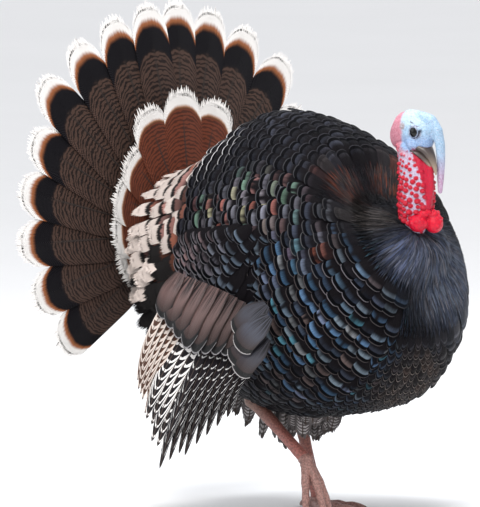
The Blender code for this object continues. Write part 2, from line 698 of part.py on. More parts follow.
def place_flight(point, down, back, lift, drop):
    """The flight feathers leave the flank and hang in a bowed sheet that is longest in its middle."""
    start = on_body(point - BODY_CENTRE, WING_OFFSET)
    hang = min(1.0, down * 1.6)
    middle = start.lerp(point, hang)
    middle.z -= drop * down * math.sin(math.pi * back)
    outward = Vector((0.0, -1.0, 0.15)).normalized()
    return middle + outward * (lift + WING_FLIGHT_BOW * math.sin(math.pi * down))


def bar(start, end, wide, deep, reference, grow=0.0):
    """A straight bar of rectangular section."""
    section = (wide * math.sqrt(2.0), deep * math.sqrt(2.0))
    return tube(((start, *section), (end, *section)), 4, reference, grow)


def wing_hinge_middle(sign):
    hinge = on_body(WING_TOP_FRONT.lerp(WING_TOP_REAR, 0.5) - BODY_CENTRE, WING_HINGE_OFFSET)
    return mirrored(hinge + UP * WING_HINGE_RISE, sign)


def wing_hinge_way(sign):
    return (mirrored(WING_TOP_FRONT, sign) - mirrored(WING_TOP_REAR, sign)).normalized()


def build_wing_bracket(side, middle, way, flank_coat):
    """A fork on the shell that holds the wing's pin, standing in a pocket of the coat."""
    outward = across(way, middle - BODY_CENTRE)
    along = across(way, outward.cross(way))
    reach = WING_HINGE_HALF + GAP + WING_EAR_THICKNESS
    base = middle - outward * WING_BRACKET_DEPTH
    shape = bar(base - way * reach, base + way * reach, *WING_BRACKET_HALF, along)
    bracket = add_piece("wing_bracket_" + side, shape, "nylon", middle)
    for place, end in (("front", 1.0), ("rear", -1.0)):
        foot = base + way * end * (reach - 0.5 * WING_EAR_THICKNESS)
        top = foot + outward * (WING_BRACKET_DEPTH + 1.5 * WING_PIN_RADIUS)
        ear = bar(foot, top, 0.5 * WING_EAR_THICKNESS, WING_EAR_HALF_DEPTH, way)
        fuse(bracket, f"wing_ear_{side}_{place}", ear)
    hole_end = way * (reach + WING_EAR_THICKNESS)
    hole = rod(middle - hole_end, middle + hole_end, WING_PIN_RADIUS + RUN_GAP, PIN_SIDES)
    cut(bracket, "wing_fork_hole_" + side, hole)
    pocket = bar(middle - hole_end, middle + hole_end, *WING_POCKET_HALF, along)
    cut(flank_coat, "wing_pocket_" + side, pocket)


def build_wing_hinge(side, arm, middle, way):
    """The wing's own half of the hinge: a barrel on a lug, in a recess of the wing's edge."""
    along = across(way, (middle - BODY_CENTRE).cross(way))
    barrel_end = way * WING_HINGE_HALF
    reach = way * (WING_HINGE_HALF + 2.0 * GAP + WING_EAR_THICKNESS)
    cut(arm, "wing_fork_room_" + side, bar(middle - reach, middle + reach, *WING_FORK_ROOM_HALF, along))
    barrel = rod(middle - barrel_end, middle + barrel_end, WING_BARREL_RADIUS, PIN_SIDES)
    fuse(arm, "wing_barrel_" + side, barrel)
    lug_half = (WING_HINGE_HALF - WING_LUG_HALF_DEPTH, WING_LUG_HALF_DEPTH)
    fuse(arm, "wing_lug_" + side, bar(middle, middle - UP * WING_LUG_LENGTH, *lug_half, way))
    hole = rod(middle - reach, middle + reach, WING_PIN_RADIUS + RUN_GAP, PIN_SIDES)
    cut(arm, "wing_pin_hole_" + side, hole)
    pin = rod(middle - reach, middle + reach, WING_PIN_RADIUS, PIN_SIDES)
    add_piece("wing_pin_" + side, pin, "steel", middle)


def build_wings(skins):
    arm_corners = (WING_TOP_FRONT, WING_TOP_REAR, WING_MIDDLE_REAR, WING_MIDDLE_FRONT)
    for side, sign in (("right", -1.0), ("left", 1.0)):
        low_rear, low_front, drop = WING_LOW[side]
        flight_corners = (
            WING_MIDDLE_FRONT.lerp(low_front, WING_SEAM),
            WING_MIDDLE_REAR.lerp(low_rear, WING_SEAM),
            low_rear,
            low_front,
        )
        middle = wing_hinge_middle(sign)
        way = wing_hinge_way(sign)
        arm = wing_solid(arm_corners, 6, 9, sign, place_arm)
        arm = add_piece("wing_arm_" + side, arm, "wing", middle)
        place = functools.partial(place_flight, drop=drop)
        flight = wing_solid(flight_corners, 7, 9, sign, place)
        add_piece("wing_flight_" + side, flight, "flight", middle)
        build_wing_bracket(side, middle, way, skins["flank_coat_" + side])
        build_wing_hinge(side, arm, middle, way)


# ---------------------------------------------------------------- legs and feet
def flat_toe(ankle, heading, length):
    """A toe lying on the ground, from under the ankle outwards."""
    way = Vector((math.cos(heading), math.sin(heading), 0.0))
    root, middle, tip = TOE_RADII
    start = Vector((ankle.x, ankle.y, 0.6 * root))
    stations = (
        (start - way * 0.004, root, root),
        (start + way * 0.45 * length, middle, middle),
        (start + way * length - UP * 0.6 * (root - tip), tip, tip),
    )
    return tube(stations, TOE_SIDES, UP)


def hanging_toe(ankle, heading, length):
    """A toe of the lifted foot, drooping from the ankle until its tip meets the ground."""
    way = Vector((math.cos(heading), math.sin(heading), 0.0))
    root, middle, tip = TOE_RADII
    fall = ankle.z - 0.5 * tip
    reach = math.sqrt(max(0.0, length * length - fall * fall))
    stations = (
        (ankle, root, root),
        (ankle + way * 0.62 * reach - UP * 0.48 * fall, middle, middle),
        (ankle + way * reach - UP * fall, tip, tip),
    )
    return tube(stations, TOE_SIDES, LEFT if abs(way.x) > 0.5 else FORWARD)


def build_foot(side, sign, ankle, make_toe, toes, palm_height):
    foot = None
    for name, angle, length in toes:
        shape = make_toe(ankle, math.radians(sign * angle), length)
        if foot is None:
            foot = add_piece("foot_" + side, shape, "leg", ankle)
        else:
            fuse(foot, f"{name}_toe_{side}", shape)
    palm = Vector((ankle.x, ankle.y, palm_height))
    fuse(foot, "palm_" + side, ball(palm, PALM_RADII))
    cut(foot, "ground_under_" + side, block((-0.4, 0.6), (-0.3, 0.3), (-0.1, 0.0)))
    return foot


def build_legs():
    legs = (
        ("right", -1.0, RIGHT_HIP, RIGHT_HOCK, RIGHT_ANKLE, hanging_toe, RIGHT_TOES, RIGHT_ANKLE.z),
        ("left", 1.0, LEFT_HIP, LEFT_HOCK, LEFT_ANKLE, flat_toe, LEFT_TOES, 0.8 * PALM_RADII[2]),
    )
    for side, sign, hip, hock, ankle, make_toe, toes, palm_height in legs:
        foot = build_foot(side, sign, ankle, make_toe, toes, palm_height)
        path = leg_path(hip, hock, ankle)
        leg = add_piece("leg_" + side, tube(path), "leg", hip)
        hip_top = Vector((hip.x, hip.y, SPINE_BOARD[2][0] - GAP))
        fuse(leg, "hip_rod_" + side, rod(hip - UP * HIP_ROD_RADIUS, hip_top, HIP_ROD_RADIUS))
        cut(foot, "ankle_seat_" + side, tube(path[3:], grow=GAP))


def main():
    for leftover in list(bpy.data.objects):
        bpy.data.objects.remove(leftover)
    skins = build_body()
    build_neck_joint()
    build_head()
    build_tail()
    build_tail_mount()
    build_wings(skins)
    build_legs()


main()
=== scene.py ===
"""Looks of the life-size turkey decoy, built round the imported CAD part.

Metres. +X is the way the bird faces, +Y its left and +Z is up; the ground is at z 0.
Feathers are grids of points, made for a whole tract at once and stored as one mesh per tract.
"""
import json
import math

import bmesh
import bpy
import numpy as np
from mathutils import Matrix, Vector


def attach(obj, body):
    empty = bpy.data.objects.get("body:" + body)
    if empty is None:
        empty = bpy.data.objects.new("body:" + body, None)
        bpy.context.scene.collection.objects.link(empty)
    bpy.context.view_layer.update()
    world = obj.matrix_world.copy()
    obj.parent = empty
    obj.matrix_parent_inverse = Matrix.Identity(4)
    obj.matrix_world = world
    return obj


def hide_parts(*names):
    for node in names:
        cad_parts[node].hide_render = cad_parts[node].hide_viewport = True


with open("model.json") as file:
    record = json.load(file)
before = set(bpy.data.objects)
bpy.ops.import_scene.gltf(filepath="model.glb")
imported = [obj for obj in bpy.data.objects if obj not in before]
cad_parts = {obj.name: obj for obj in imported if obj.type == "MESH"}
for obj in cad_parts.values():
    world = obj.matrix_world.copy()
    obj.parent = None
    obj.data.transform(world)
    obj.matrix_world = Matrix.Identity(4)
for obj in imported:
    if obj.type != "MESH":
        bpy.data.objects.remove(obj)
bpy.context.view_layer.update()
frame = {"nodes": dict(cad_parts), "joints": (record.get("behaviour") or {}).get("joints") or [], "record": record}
random = np.random.default_rng(11)

FORWARD = np.array((1.0, 0.0, 0.0))
LEFT = np.array((0.0, 1.0, 0.0))
UP = np.array((0.0, 0.0, 1.0))
SIDES = (("right", -1.0), ("left", 1.0))
JOINTS = {joint["name"]: joint for joint in frame["joints"]}


def unit(vectors):
    vectors = np.asarray(vectors, float)
    return vectors / np.linalg.norm(vectors, axis=-1, keepdims=True)


def blend(low, high, share):
    return low + (high - low) * share


def smooth(value, low, high):
    share = np.clip((value - low) / (high - low), 0.0, 1.0)
    return share * share * (3.0 - 2.0 * share)


def along_path(points, shares):
    """Points at shares of the way along a bent line."""
    points = np.asarray(points, float)
    knots = np.linspace(0.0, 1.0, len(points))
    return np.stack([np.interp(shares, knots, column) for column in points.T], axis=-1)


# ---------------------------------------------------------------- the body's surface, as in the CAD
BODY_CENTRE = np.array((0.035, 0.0, 0.440))
BODY_HALF = np.array((0.287, 0.228, 0.257))
BODY_SQUARENESS = 2.1
BODY_SWELLS = (  # direction from the centre, height as a share of the radius, breadth
    ((0.82, -0.42, -0.25), 0.045, 0.46),
    ((0.82, 0.42, -0.25), 0.045, 0.46),
    ((0.65, -0.25, -0.70), 0.075, 0.30),
    ((0.65, 0.25, -0.70), 0.075, 0.30),
    ((1.00, 0.00, -0.15), -0.07, 0.15),
    ((0.80, 0.00, 0.68), -0.29, 0.48),
    ((-0.32, 0.00, 1.00), 0.10, 0.40),
    ((-0.80, -0.45, 0.35), 0.06, 0.45),
    ((-0.80, 0.45, 0.35), 0.06, 0.45),
    ((-0.80, 0.00, -0.60), -0.07, 0.50),
)
NECK_BASE = np.array((0.277, 0.0, 0.530))
NECK_WAY = unit(NECK_BASE - BODY_CENTRE)
BACK_WAY = np.array((-NECK_WAY[2], 0.0, NECK_WAY[0]))


def body_radius(ways):
    swell = np.ones(ways.shape[:-1])
    for toward, height, breadth in BODY_SWELLS:
        angle = np.arccos(np.clip(ways @ unit(toward), -1.0, 1.0))
        swell = swell + height * np.exp(-((angle / breadth) ** 2))
    shares = (np.abs(ways) / BODY_HALF) ** BODY_SQUARENESS
    return swell * shares.sum(axis=-1) ** (-1.0 / BODY_SQUARENESS)


def on_body(points, offset=0.0):
    """The points moved along rays from the body's centre to its surface, plus an offset."""
    ways = unit(points - BODY_CENTRE)
    return BODY_CENTRE + ways * (body_radius(ways) + offset)[..., None]


def body_at(polar, azimuth, offset=0.0):
    """Surface points at angles in degrees; azimuth 0 runs up the back, 90 down the left flank."""
    polar, azimuth = np.broadcast_arrays(np.radians(polar), np.radians(azimuth))
    round_way = np.cos(azimuth)[..., None] * BACK_WAY + np.sin(azimuth)[..., None] * LEFT
    ways = np.cos(polar)[..., None] * NECK_WAY + np.sin(polar)[..., None] * round_way
    return on_body(BODY_CENTRE + ways, offset)


def body_height(points):
    """How far the points stand above the body's surface, along rays from its centre."""
    return np.linalg.norm(points - BODY_CENTRE, axis=-1) - body_radius(unit(points - BODY_CENTRE))


def body_normal(points, step=0.004):
    slopes = [body_height(points + step * axis) - body_height(points - step * axis) for axis in np.eye(3)]
    return unit(np.stack(slopes, axis=-1))


# ---------------------------------------------------------------- materials
class Term:
    """A socket of a node graph. Sums on it are made as math nodes."""

    def __init__(self, look, socket):
        self.look = look
        self.socket = socket

    def __add__(self, other):
        return self.look.math("ADD", self, other)

    def __sub__(self, other):
        return self.look.math("SUBTRACT", self, other)

    def __rsub__(self, other):
        return self.look.math("SUBTRACT", other, self)

    def __mul__(self, other):
        return self.look.math("MULTIPLY", self, other)


class Look:
    """A material whose node graph is put together with short calls."""

    def __init__(self, name, **sockets):
        self.material = bpy.data.materials.new(name)
        self.material.use_nodes = True
        self.tree = self.material.node_tree
        self.shader = self.tree.nodes["Principled BSDF"]
        for socket, value in sockets.items():
            self.shader.inputs[socket.replace("_", " ")].default_value = value

    def node(self, kind, inputs=(), output=0, **settings):
        """One output of a new node, after its settings and inputs are made."""
        made = self.tree.nodes.new(kind)
        for key, value in settings.items():
            setattr(made, key, value)
        for socket, value in inputs:
            self.feed(made.inputs[socket], value)
        return Term(self, made.outputs[output])

    def feed(self, socket, value):
        if isinstance(value, Term):
            self.tree.links.new(value.socket, socket)
        elif isinstance(value, tuple) and len(value) == 3 and socket.type == "RGBA":
            socket.default_value = (*value, 1.0)
        else:
            socket.default_value = value

    def put(self, socket, value):
        self.feed(self.shader.inputs[socket], value)

    def math(self, operation, first, second=0.0):
        return self.node("ShaderNodeMath", ((0, first), (1, second)), operation=operation)

    def smooth(self, value, low, high):
        inputs = ((0, value), (1, low), (2, high))
        return self.node("ShaderNodeMapRange", inputs, interpolation_type="SMOOTHSTEP")

    def mix(self, factor, first, second):
        return self.node("ShaderNodeMix", ((0, factor), (6, first), (7, second)), 2, data_type="RGBA")

    def over(self, colour, *layers):
        """A colour with more colours laid over it, each with its share."""
        for share, top in layers:
            colour = self.mix(share, colour, top)
        return colour

    def uv(self):
        """The place on a feather: how far from its shaft, 0 to 1 each side, and how far along it."""
        uv = self.node("ShaderNodeUVMap", uv_map="UVMap")
        across, along = (self.node("ShaderNodeSeparateXYZ", ((0, uv),), axis) for axis in (0, 1))
        return uv, self.math("ABSOLUTE", across - 0.5) * 2.0, along

    def attribute(self, name):
        return [self.node("ShaderNodeAttribute", (), output, attribute_name=name) for output in ("Color", "Alpha")]

    def streaks(self, uv, seed, across, along, detail=3.0):
        """Streaks along a feather, shifted from feather to feather by its own colour."""
        shift = self.node("ShaderNodeVectorMath", ((0, seed), (1, (91.0, 57.0, 73.0))), operation="MULTIPLY")
        place = self.stretched(uv, (across, along, 1.0))
        moved = self.node("ShaderNodeVectorMath", ((0, place), (1, shift)), operation="ADD")
        return self.noise(moved, 1.0, detail)

    def position(self):
        return self.node("ShaderNodeTexCoord", (), "Object")

    def stretched(self, vector, scale):
        return self.node("ShaderNodeMapping", ((0, vector), (3, scale)))

    def noise(self, vector, scale, detail=2.0, distortion=0.0):
        inputs = (("Vector", vector), ("Scale", scale), ("Detail", detail), ("Distortion", distortion))
        return self.node("ShaderNodeTexNoise", inputs)

    def cells(self, vector, scale):
        return self.node("ShaderNodeTexVoronoi", (("Vector", vector), ("Scale", scale)), "Distance")

    def finish(self, colour, height, distance, strength):
        self.put("Base Color", colour)
        bumps = (("Strength", strength), ("Distance", distance), ("Height", height))
        self.put("Normal", self.node("ShaderNodeBump", bumps))
        return self.material

    def barbed(self, colour, aside, along, count, distance):
        """The finished material of a feather, with its barbs as slanting ridges."""
        ridges = self.math("SINE", (along - aside * 0.3) * (count * math.tau))
        return self.finish(colour, ridges, distance, 0.6)


def plumage_look():
    """Body feathers: black roots, a shining band, a black edge and a thin pale rim, each in its own tint. The band's
    brightness is partly painted light: painted shade darkens it towards the root, under the feather above, and painted
    highlight lights it in broad random patches.
    """
    look = Look("plumage", Specular_IOR_Level=0.03)
    uv, aside, along = look.uv()
    band, edge = look.attribute("band")
    rim, rim_share = look.attribute("rim")
    streak = look.streaks(uv, band, 60.0, 5.0)
    # broad random patches in which the band carries a painted highlight
    broad = look.streaks(uv, band, 2.4, 0.8, 1.0)
    dark = look.mix(streak, (0.0010, 0.0010, 0.0016), (0.0095, 0.0080, 0.0095))
    lit = look.mix(look.smooth(streak, 0.25, 0.80), look.mix(0.5, band, (0.0, 0.0, 0.0)), band)
    # painted shade and highlight: the band fades to dark towards the root, where the feather above shades it, and is
    # lit only in the broad patches; where a feather has no black edge, its band colour covers all of it
    band_and_painted_glow = look.smooth(along, 0.70, 0.86) * look.smooth(broad, 0.27, 0.50)
    band_and_painted_glow = look.math("MAXIMUM", band_and_painted_glow, 1.0 - edge)
    reach = along + streak * 0.012
    black = look.smooth(reach, 0.878, 0.896) * edge
    pale = look.smooth(reach, 0.975, 0.992) * rim_share
    shiny = band_and_painted_glow * (1.0 - black)
    look.put("Metallic", shiny * 0.35)
    look.put("Roughness", 0.60 - shiny * 0.20)
    colour = look.over(dark, (band_and_painted_glow, lit), (black, (0.0010, 0.0010, 0.0018)), (pale, rim))
    return look.barbed(colour, aside, along, 34.0, 0.0005)


def pale_look():
    """Rump feathers: dark roots, a coppery middle and a broad cream edge."""
    look = Look("pale_plumage", Roughness=0.65, Specular_IOR_Level=0.10)
    uv, aside, along = look.uv()
    band, _edge = look.attribute("band")
    rim, rim_share = look.attribute("rim")
    streak = look.noise(look.stretched(uv, (30.0, 3.0, 1.0)), 4.0, 3.0)
    coarse = look.noise(look.stretched(uv, (9.0, 1.2, 1.0)), 3.0, 3.0)
    dark = (0.006, 0.005, 0.005)
    reach = along + (coarse - 0.5) * 0.22
    pale = look.smooth(reach, 0.79, 0.85) * rim_share
    cream = look.mix(streak * 0.80, rim, (0.30, 0.20, 0.16))
    colour = look.over(dark, (look.smooth(along, 0.30, 0.60), band), (look.smooth(reach, 0.66, 0.71), dark),
                       (pale, cream))
    return look.barbed(colour, aside, along, 30.0, 0.0006)


def tail_look(name, ground, bars, chestnut, zones, bar_count):
    """A barred feather with a black band, a chestnut band and a white tip, at given shares along it."""
    black_from, chestnut_from, white_from = zones
    look = Look(name, Roughness=0.62, Specular_IOR_Level=0.08)
    uv, aside, along = look.uv()
    band, _edge = look.attribute("band")
    wobble = look.noise(look.stretched(uv, (7.0, 26.0, 1.0)), 1.0, 3.0)
    streak = look.noise(look.stretched(uv, (40.0, 3.0, 1.0)), 3.0, 2.0)
    stripe = look.math("SINE", (along + wobble * 0.045) * bar_count * math.tau)
    reach = along + (streak - 0.5) * 0.030
    shaft = (1.0 - look.smooth(aside, 0.025, 0.06)) * (1.0 - look.smooth(along, 0.70, 0.86))
    colour = look.over(
        ground,
        (look.smooth(stripe + streak * 0.8, 0.25, 0.95), bars),
        (streak * 0.5, band),
        (look.smooth(reach, black_from - 0.012, black_from + 0.006), (0.004, 0.0035, 0.005)),
        (look.smooth(reach, chestnut_from - 0.012, chestnut_from + 0.016), chestnut),
        (look.smooth(reach, white_from - 0.014, white_from + 0.014), (0.70, 0.68, 0.66)),
        (shaft * 0.7, (0.030, 0.024, 0.022)),
    )
    return look.barbed(colour, aside, along, 80.0, 0.0007)


def flight_look():
    """Flight feathers marked by their own tints: a ground, bars on it, and how much of each bar shows.

    The bars narrow away from the shaft where the bar tint's alpha is 1, and keep to the edges where it is 0.
    """
    look = Look("flight_feathers", Roughness=0.60, Specular_IOR_Level=0.10)
    uv, aside, along = look.uv()
    ground, duty = look.attribute("band")
    bars, lozenge = look.attribute("rim")
    wobble = look.streaks(uv, ground, 5.0, 14.0, 2.0)
    wave = look.math("SINE", (along - aside * 0.055 + wobble * 0.03) * 10.0 * math.tau)
    cut = look.smooth(aside, 0.35, 1.0) * 0.8 * lozenge
    notch = look.smooth(wave * 0.5 + wobble * 0.16 + 0.42 - duty - cut, -0.06, 0.06)
    edge = look.math("MAXIMUM", lozenge, look.smooth(aside, 0.20, 0.34))
    shaft = 1.0 - look.smooth(aside, 0.05, 0.09)
    colour = look.over(ground, (notch * edge, bars), (shaft, (0.055, 0.040, 0.034)))
    return look.barbed(colour, aside, along, 60.0, 0.0005)


def satin_look():
    """The broad wing coverts: mauve brown with dark streaks, with painted shade that darkens them towards the black tip
    and along their edges.
    """
    look = Look("satin_coverts", Roughness=0.45, Specular_IOR_Level=0.20)
    uv, aside, along = look.uv()
    band, _edge = look.attribute("band")
    rim, rim_share = look.attribute("rim")
    streak = look.streaks(uv, band, 40.0, 1.8)
    wisp = look.smooth(look.streaks(uv, band, 16.0, 0.8), 0.46, 0.56)
    reach = along + streak * 0.03
    colour = look.over(
        band,
        # painted shade: the feather darkens towards its tip, below its pinkish top
        (look.smooth(along, 0.40, 0.92), (0.018, 0.010, 0.009)),
        (streak * 0.75, (0.030, 0.018, 0.017)),
        (wisp * (1.0 - look.smooth(along, 0.10, 0.55)), (0.003, 0.002, 0.003)),
        # painted shade along the feather's edges, where the feathers overlap
        (look.smooth(aside, 0.72, 1.0) * 0.5, (0.015, 0.009, 0.008)),
        (look.smooth(reach, 0.845, 0.880), (0.0015, 0.0015, 0.002)),
        (look.smooth(reach, 0.985, 0.998) * rim_share, rim),
    )
    return look.barbed(colour, aside, along, 44.0, 0.0004)


def skin_look(name, roughness, grain, fold):
    """Bare skin in its painted tint, with fine wrinkles, and paler folds where the tint's alpha is high; painted shade
    darkens the wrinkles' hollows and the gaps between the warts.
    """
    look = Look(name, Roughness=roughness, Specular_IOR_Level=0.25)
    tint, pale = look.attribute("band")
    place = look.position()
    wrinkles = look.noise(look.stretched(place, (1.0, 1.0, 2.2)), grain, 4.0, 1.2)
    warts = look.cells(place, 0.55 * grain)
    colour = look.over(
        tint,
        (look.smooth(wrinkles, 0.42, 0.75) * pale, fold),
        # painted shade in the wrinkles' hollows
        (look.smooth(wrinkles, 0.50, 0.38) * 0.45, (0.10, 0.02, 0.04)),
        # painted shade between the warts
        (look.smooth(warts, 0.35, 0.75) * 0.12, (0.10, 0.03, 0.05)),
    )
    return look.finish(colour, wrinkles - warts * 0.5, 0.0012, 0.7)


def leg_look():
    """Small worn scales all over the legs and feet."""
    look = Look("scaled_leg", Roughness=0.50, Specular_IOR_Level=0.4)
    tint, _edge = look.attribute("band")
    place = look.position()
    scales = look.cells(place, 300.0)
    wear = look.noise(place, 120.0, 3.0)
    grooves = look.smooth(scales, 0.35, 0.70) * 0.5
    colour = look.over(tint, (wear * 0.5, (0.16, 0.07, 0.055)), (grooves, (0.06, 0.025, 0.02)))
    return look.finish(colour, 1.0 - scales, 0.0010, 0.7)


def horn_look():
    look = Look("beak_horn", Roughness=0.32, Specular_IOR_Level=0.5)
    uv, _aside, _along = look.uv()
    tint, _edge = look.attribute("band")
    streak = look.noise(look.stretched(uv, (14.0, 1.5, 1.0)), 3.0, 4.0)
    return look.finish(look.mix(streak * 0.6, tint, (0.05, 0.04, 0.035)), streak, 0.0005, 0.5)


def eye_look():
    """A black pupil in a dark brown iris, under a clear gloss."""
    look = Look("eye_gloss", Roughness=0.05, Specular_IOR_Level=0.3)
    _uv, _aside, along = look.uv()
    tint, _edge = look.attribute("band")
    fleck = look.noise(look.position(), 1800.0, 2.0)
    iris = look.over(tint, (fleck * 0.5, (0.004, 0.003, 0.003)),
                     (look.smooth(along, 0.40, 0.46), (0.004, 0.003, 0.003)))
    look.put("Base Color", look.mix(look.smooth(along, 0.34, 0.37), (0.001, 0.001, 0.001), iris))
    return look.material


def down_look():
    look = Look("dark_down", Roughness=0.8, Specular_IOR_Level=0.2)
    tuft = look.noise(look.stretched(look.position(), (1.0, 1.0, 2.5)), 260.0, 4.0)
    return look.finish(look.mix(tuft, (0.004, 0.004, 0.005), (0.030, 0.025, 0.023)), tuft, 0.003, 0.7)


def plastic_look(name, dark, light, roughness):
    look = Look(name, Specular_IOR_Level=0.4)
    grain = look.noise(look.position(), 900.0, 3.0)
    wear = look.noise(look.position(), 30.0, 3.0)
    look.put("Roughness", grain * 0.2 + roughness)
    return look.finish(look.mix(wear, dark, light), grain, 0.0002, 0.5)


def steel_look():
    look = Look("brushed_steel", Metallic=1.0)
    brushed = look.noise(look.stretched(look.position(), (1.0, 1.0, 12.0)), 500.0, 3.0)
    look.put("Roughness", brushed * 0.25 + 0.25)
    return look.finish(look.mix(brushed, (0.36, 0.37, 0.38), (0.60, 0.60, 0.60)), brushed, 0.0001, 0.3)


def wood_look():
    look = Look("spine_wood", Roughness=0.6)
    grain = look.noise(look.stretched(look.position(), (2.0, 30.0, 30.0)), 6.0, 5.0, 0.6)
    return look.finish(look.mix(grain, (0.20, 0.12, 0.06), (0.52, 0.38, 0.22)), grain, 0.0003, 0.4)


# ---------------------------------------------------------------- feather meshes
TINTS = ("band", "rim")
PLAIN_TINT = (0.5, 0.5, 0.5, 1.0)


def outline(rows, columns, root_width=0.35, tip_round=0.14, squareness=3.5, swell=0.45):
    """A feather's flat shape: how far across (-1 to 1) and along (0 to 1) each grid point lies."""
    across = np.linspace(-1.0, 1.0, columns)[None, :] * np.ones((rows, 1))
    share = np.linspace(0.0, 1.0, rows)[:, None] * np.ones((1, columns))
    width = root_width + (1.0 - root_width) * np.sin(0.5 * math.pi * np.clip(share / swell, 0.0, 1.0))
    along = share * (1.0 - tip_round * np.abs(across) ** squareness)
    uv = np.stack((0.5 + 0.5 * across, share), axis=-1)
    return across * width, along, uv


def per_feather(values):
    return np.asarray(values, float)[:, None, None]


def blades(roots, ways, normals, lengths, widths, shape, camber=0.12, curl=0.0):
    """Free feathers from their roots: a grid of points for each one.

    camber is how far the edges drop, as a share of the half width; curl bends the tip along the normal.
    """
    across, along, _uv = shape
    ways = unit(ways)
    sides = unit(np.cross(normals, ways))
    normals = np.cross(ways, sides)
    half = 0.5 * per_feather(widths)
    long = per_feather(lengths)
    lift = -camber * half * across ** 2 + per_feather(np.broadcast_to(curl, len(roots))) * long * along ** 2
    return (
        roots[:, None, None, :]
        + ways[:, None, None, :] * (long * along)[..., None]
        + sides[:, None, None, :] * (half * across)[..., None]
        + normals[:, None, None, :] * lift[..., None]
    )


def hugging(roots, ways, lengths, widths, shape, low, high, camber=0.0020):
    """Feathers that follow the body, from a height of low at the root to high at the tip."""
    across, along, _uv = shape
    flat = blades(roots, ways, body_normal(roots), lengths, widths, shape, camber=0.0)
    heights = per_feather(low) + per_feather(high - low) * along - camber * across ** 2
    return on_body(flat, heights + mound(polar_of(flat)))


def fringe(grids, barb_count, reach, body_uv=0.985):
    """Loose barbs along the tips of feathers, as narrow strips that carry on from the last row."""
    tips = grids[:, -1]
    before = grids[:, -2]
    feathers, columns = tips.shape[:2]
    places = (np.arange(barb_count)[None, :] + 0.5) / barb_count * np.ones((feathers, 1))
    places = np.clip(places + random.uniform(-0.3, 0.3, places.shape) / barb_count, 0.02, 0.98)
    cell = places * (columns - 1)
    low = np.minimum(cell.astype(int), columns - 2)
    share = (cell - low)[..., None]
    pick = np.arange(feathers)[:, None]
    base = blend(tips[pick, low], tips[pick, low + 1], share)
    behind = blend(before[pick, low], before[pick, low + 1], share)
    way = unit(base - behind)
    edge = tips[pick, low + 1] - tips[pick, low]
    side = unit(edge) * (np.linalg.norm(tips[:, 1:] - tips[:, :-1], axis=-1).sum(1) / barb_count)[:, None, None]
    way = unit(way + unit(edge) * random.normal(0.0, 0.10, places.shape)[..., None])
    length = reach * random.uniform(0.35, 1.0, places.shape)[..., None]
    root = base - way * 0.35 * reach
    rows = []
    for row_share, wide in ((0.0, 0.52), (0.6, 0.42), (1.0, 0.12)):
        middle = root + way * (length + 0.35 * reach) * row_share
        rows.append(np.stack((middle - side * wide, middle + side * wide), axis=-2))
    strips = np.stack(rows, axis=-3).reshape(-1, 3, 2, 3)
    uv = np.stack((np.repeat(places[..., None], 6, axis=-1).reshape(-1, 3, 2),
                   np.full((feathers * barb_count, 3, 2), body_uv)), axis=-1)
    return strips, uv


def feather_group(grids, uv, band=PLAIN_TINT, rim=PLAIN_TINT):
    """A group is its grids, its UV grid and RGBA tints of each kind, for each grid or each point."""
    tints = []
    for tint in (band, rim):
        tint = np.asarray(tint, float)
        tint = tint[:, None, None, :] if tint.ndim == 2 else tint
        tints.append(np.broadcast_to(tint, grids.shape[:-1] + (4,)))
    return grids, np.broadcast_to(uv, grids.shape[:-1] + (2,)), tints


def add_feathers(name, groups, body, material, slot, replaced=()):
    """One mesh from groups of feathers, with UVs and tints, riding on a body."""
    points, faces, uvs = [], [], []
    tints = [[], []]
    start = 0
    for grids, uv, group_tints in groups:
        count, rows, columns = grids.shape[:3]
        index = np.arange(start, start + count * rows * columns).reshape(count, rows, columns)
        corners = (index[:, :-1, :-1], index[:, :-1, 1:], index[:, 1:, 1:], index[:, 1:, :-1])
        faces.append(np.stack(corners, axis=-1).reshape(-1, 4))
        points.append(grids.reshape(-1, 3))
        uvs.append(uv.reshape(-1, 2))
        for store, tint in zip(tints, group_tints):
            store.append(tint.reshape(-1, 4))
        start += count * rows * columns
    faces = np.concatenate(faces)
    mesh = bpy.data.meshes.new(name)
    mesh.from_pydata(np.concatenate(points), [], faces)
    layer = mesh.uv_layers.new(name="UVMap")
    layer.data.foreach_set("uv", np.concatenate(uvs)[faces.ravel()].astype(np.float32).ravel())
    for kind, store in zip(TINTS, tints):
        attribute = mesh.attributes.new(kind, "FLOAT_COLOR", "POINT")
        attribute.data.foreach_set("color", np.concatenate(store).astype(np.float32).ravel())
    mesh.shade_smooth()
    mesh.materials.append(material)
    return place_piece(name, mesh, body, replaced)


def place_piece(name, mesh, body, replaced=()):
    piece = bpy.data.objects.new(name, mesh)
    bpy.context.scene.collection.objects.link(piece)
    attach(piece, body)
    if replaced:
        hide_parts(*replaced)
    return piece


# ---------------------------------------------------------------- body plumage
KINDS = {  # degrees between rows, spacing, width, length, height, rows and columns, tip roundness, its squareness
    "hair": (1.9, 0.0034, 0.0052, 0.046, 0.40, 6, 3, 0.55, 1.5),
    "small": (3.0, 0.0150, 0.0185, 0.042, 0.70, 7, 7, 0.30, 2.0),
    "broad": (4.7, 0.0245, 0.0320, 0.064, 1.00, 8, 9, 0.085, 3.4),
}
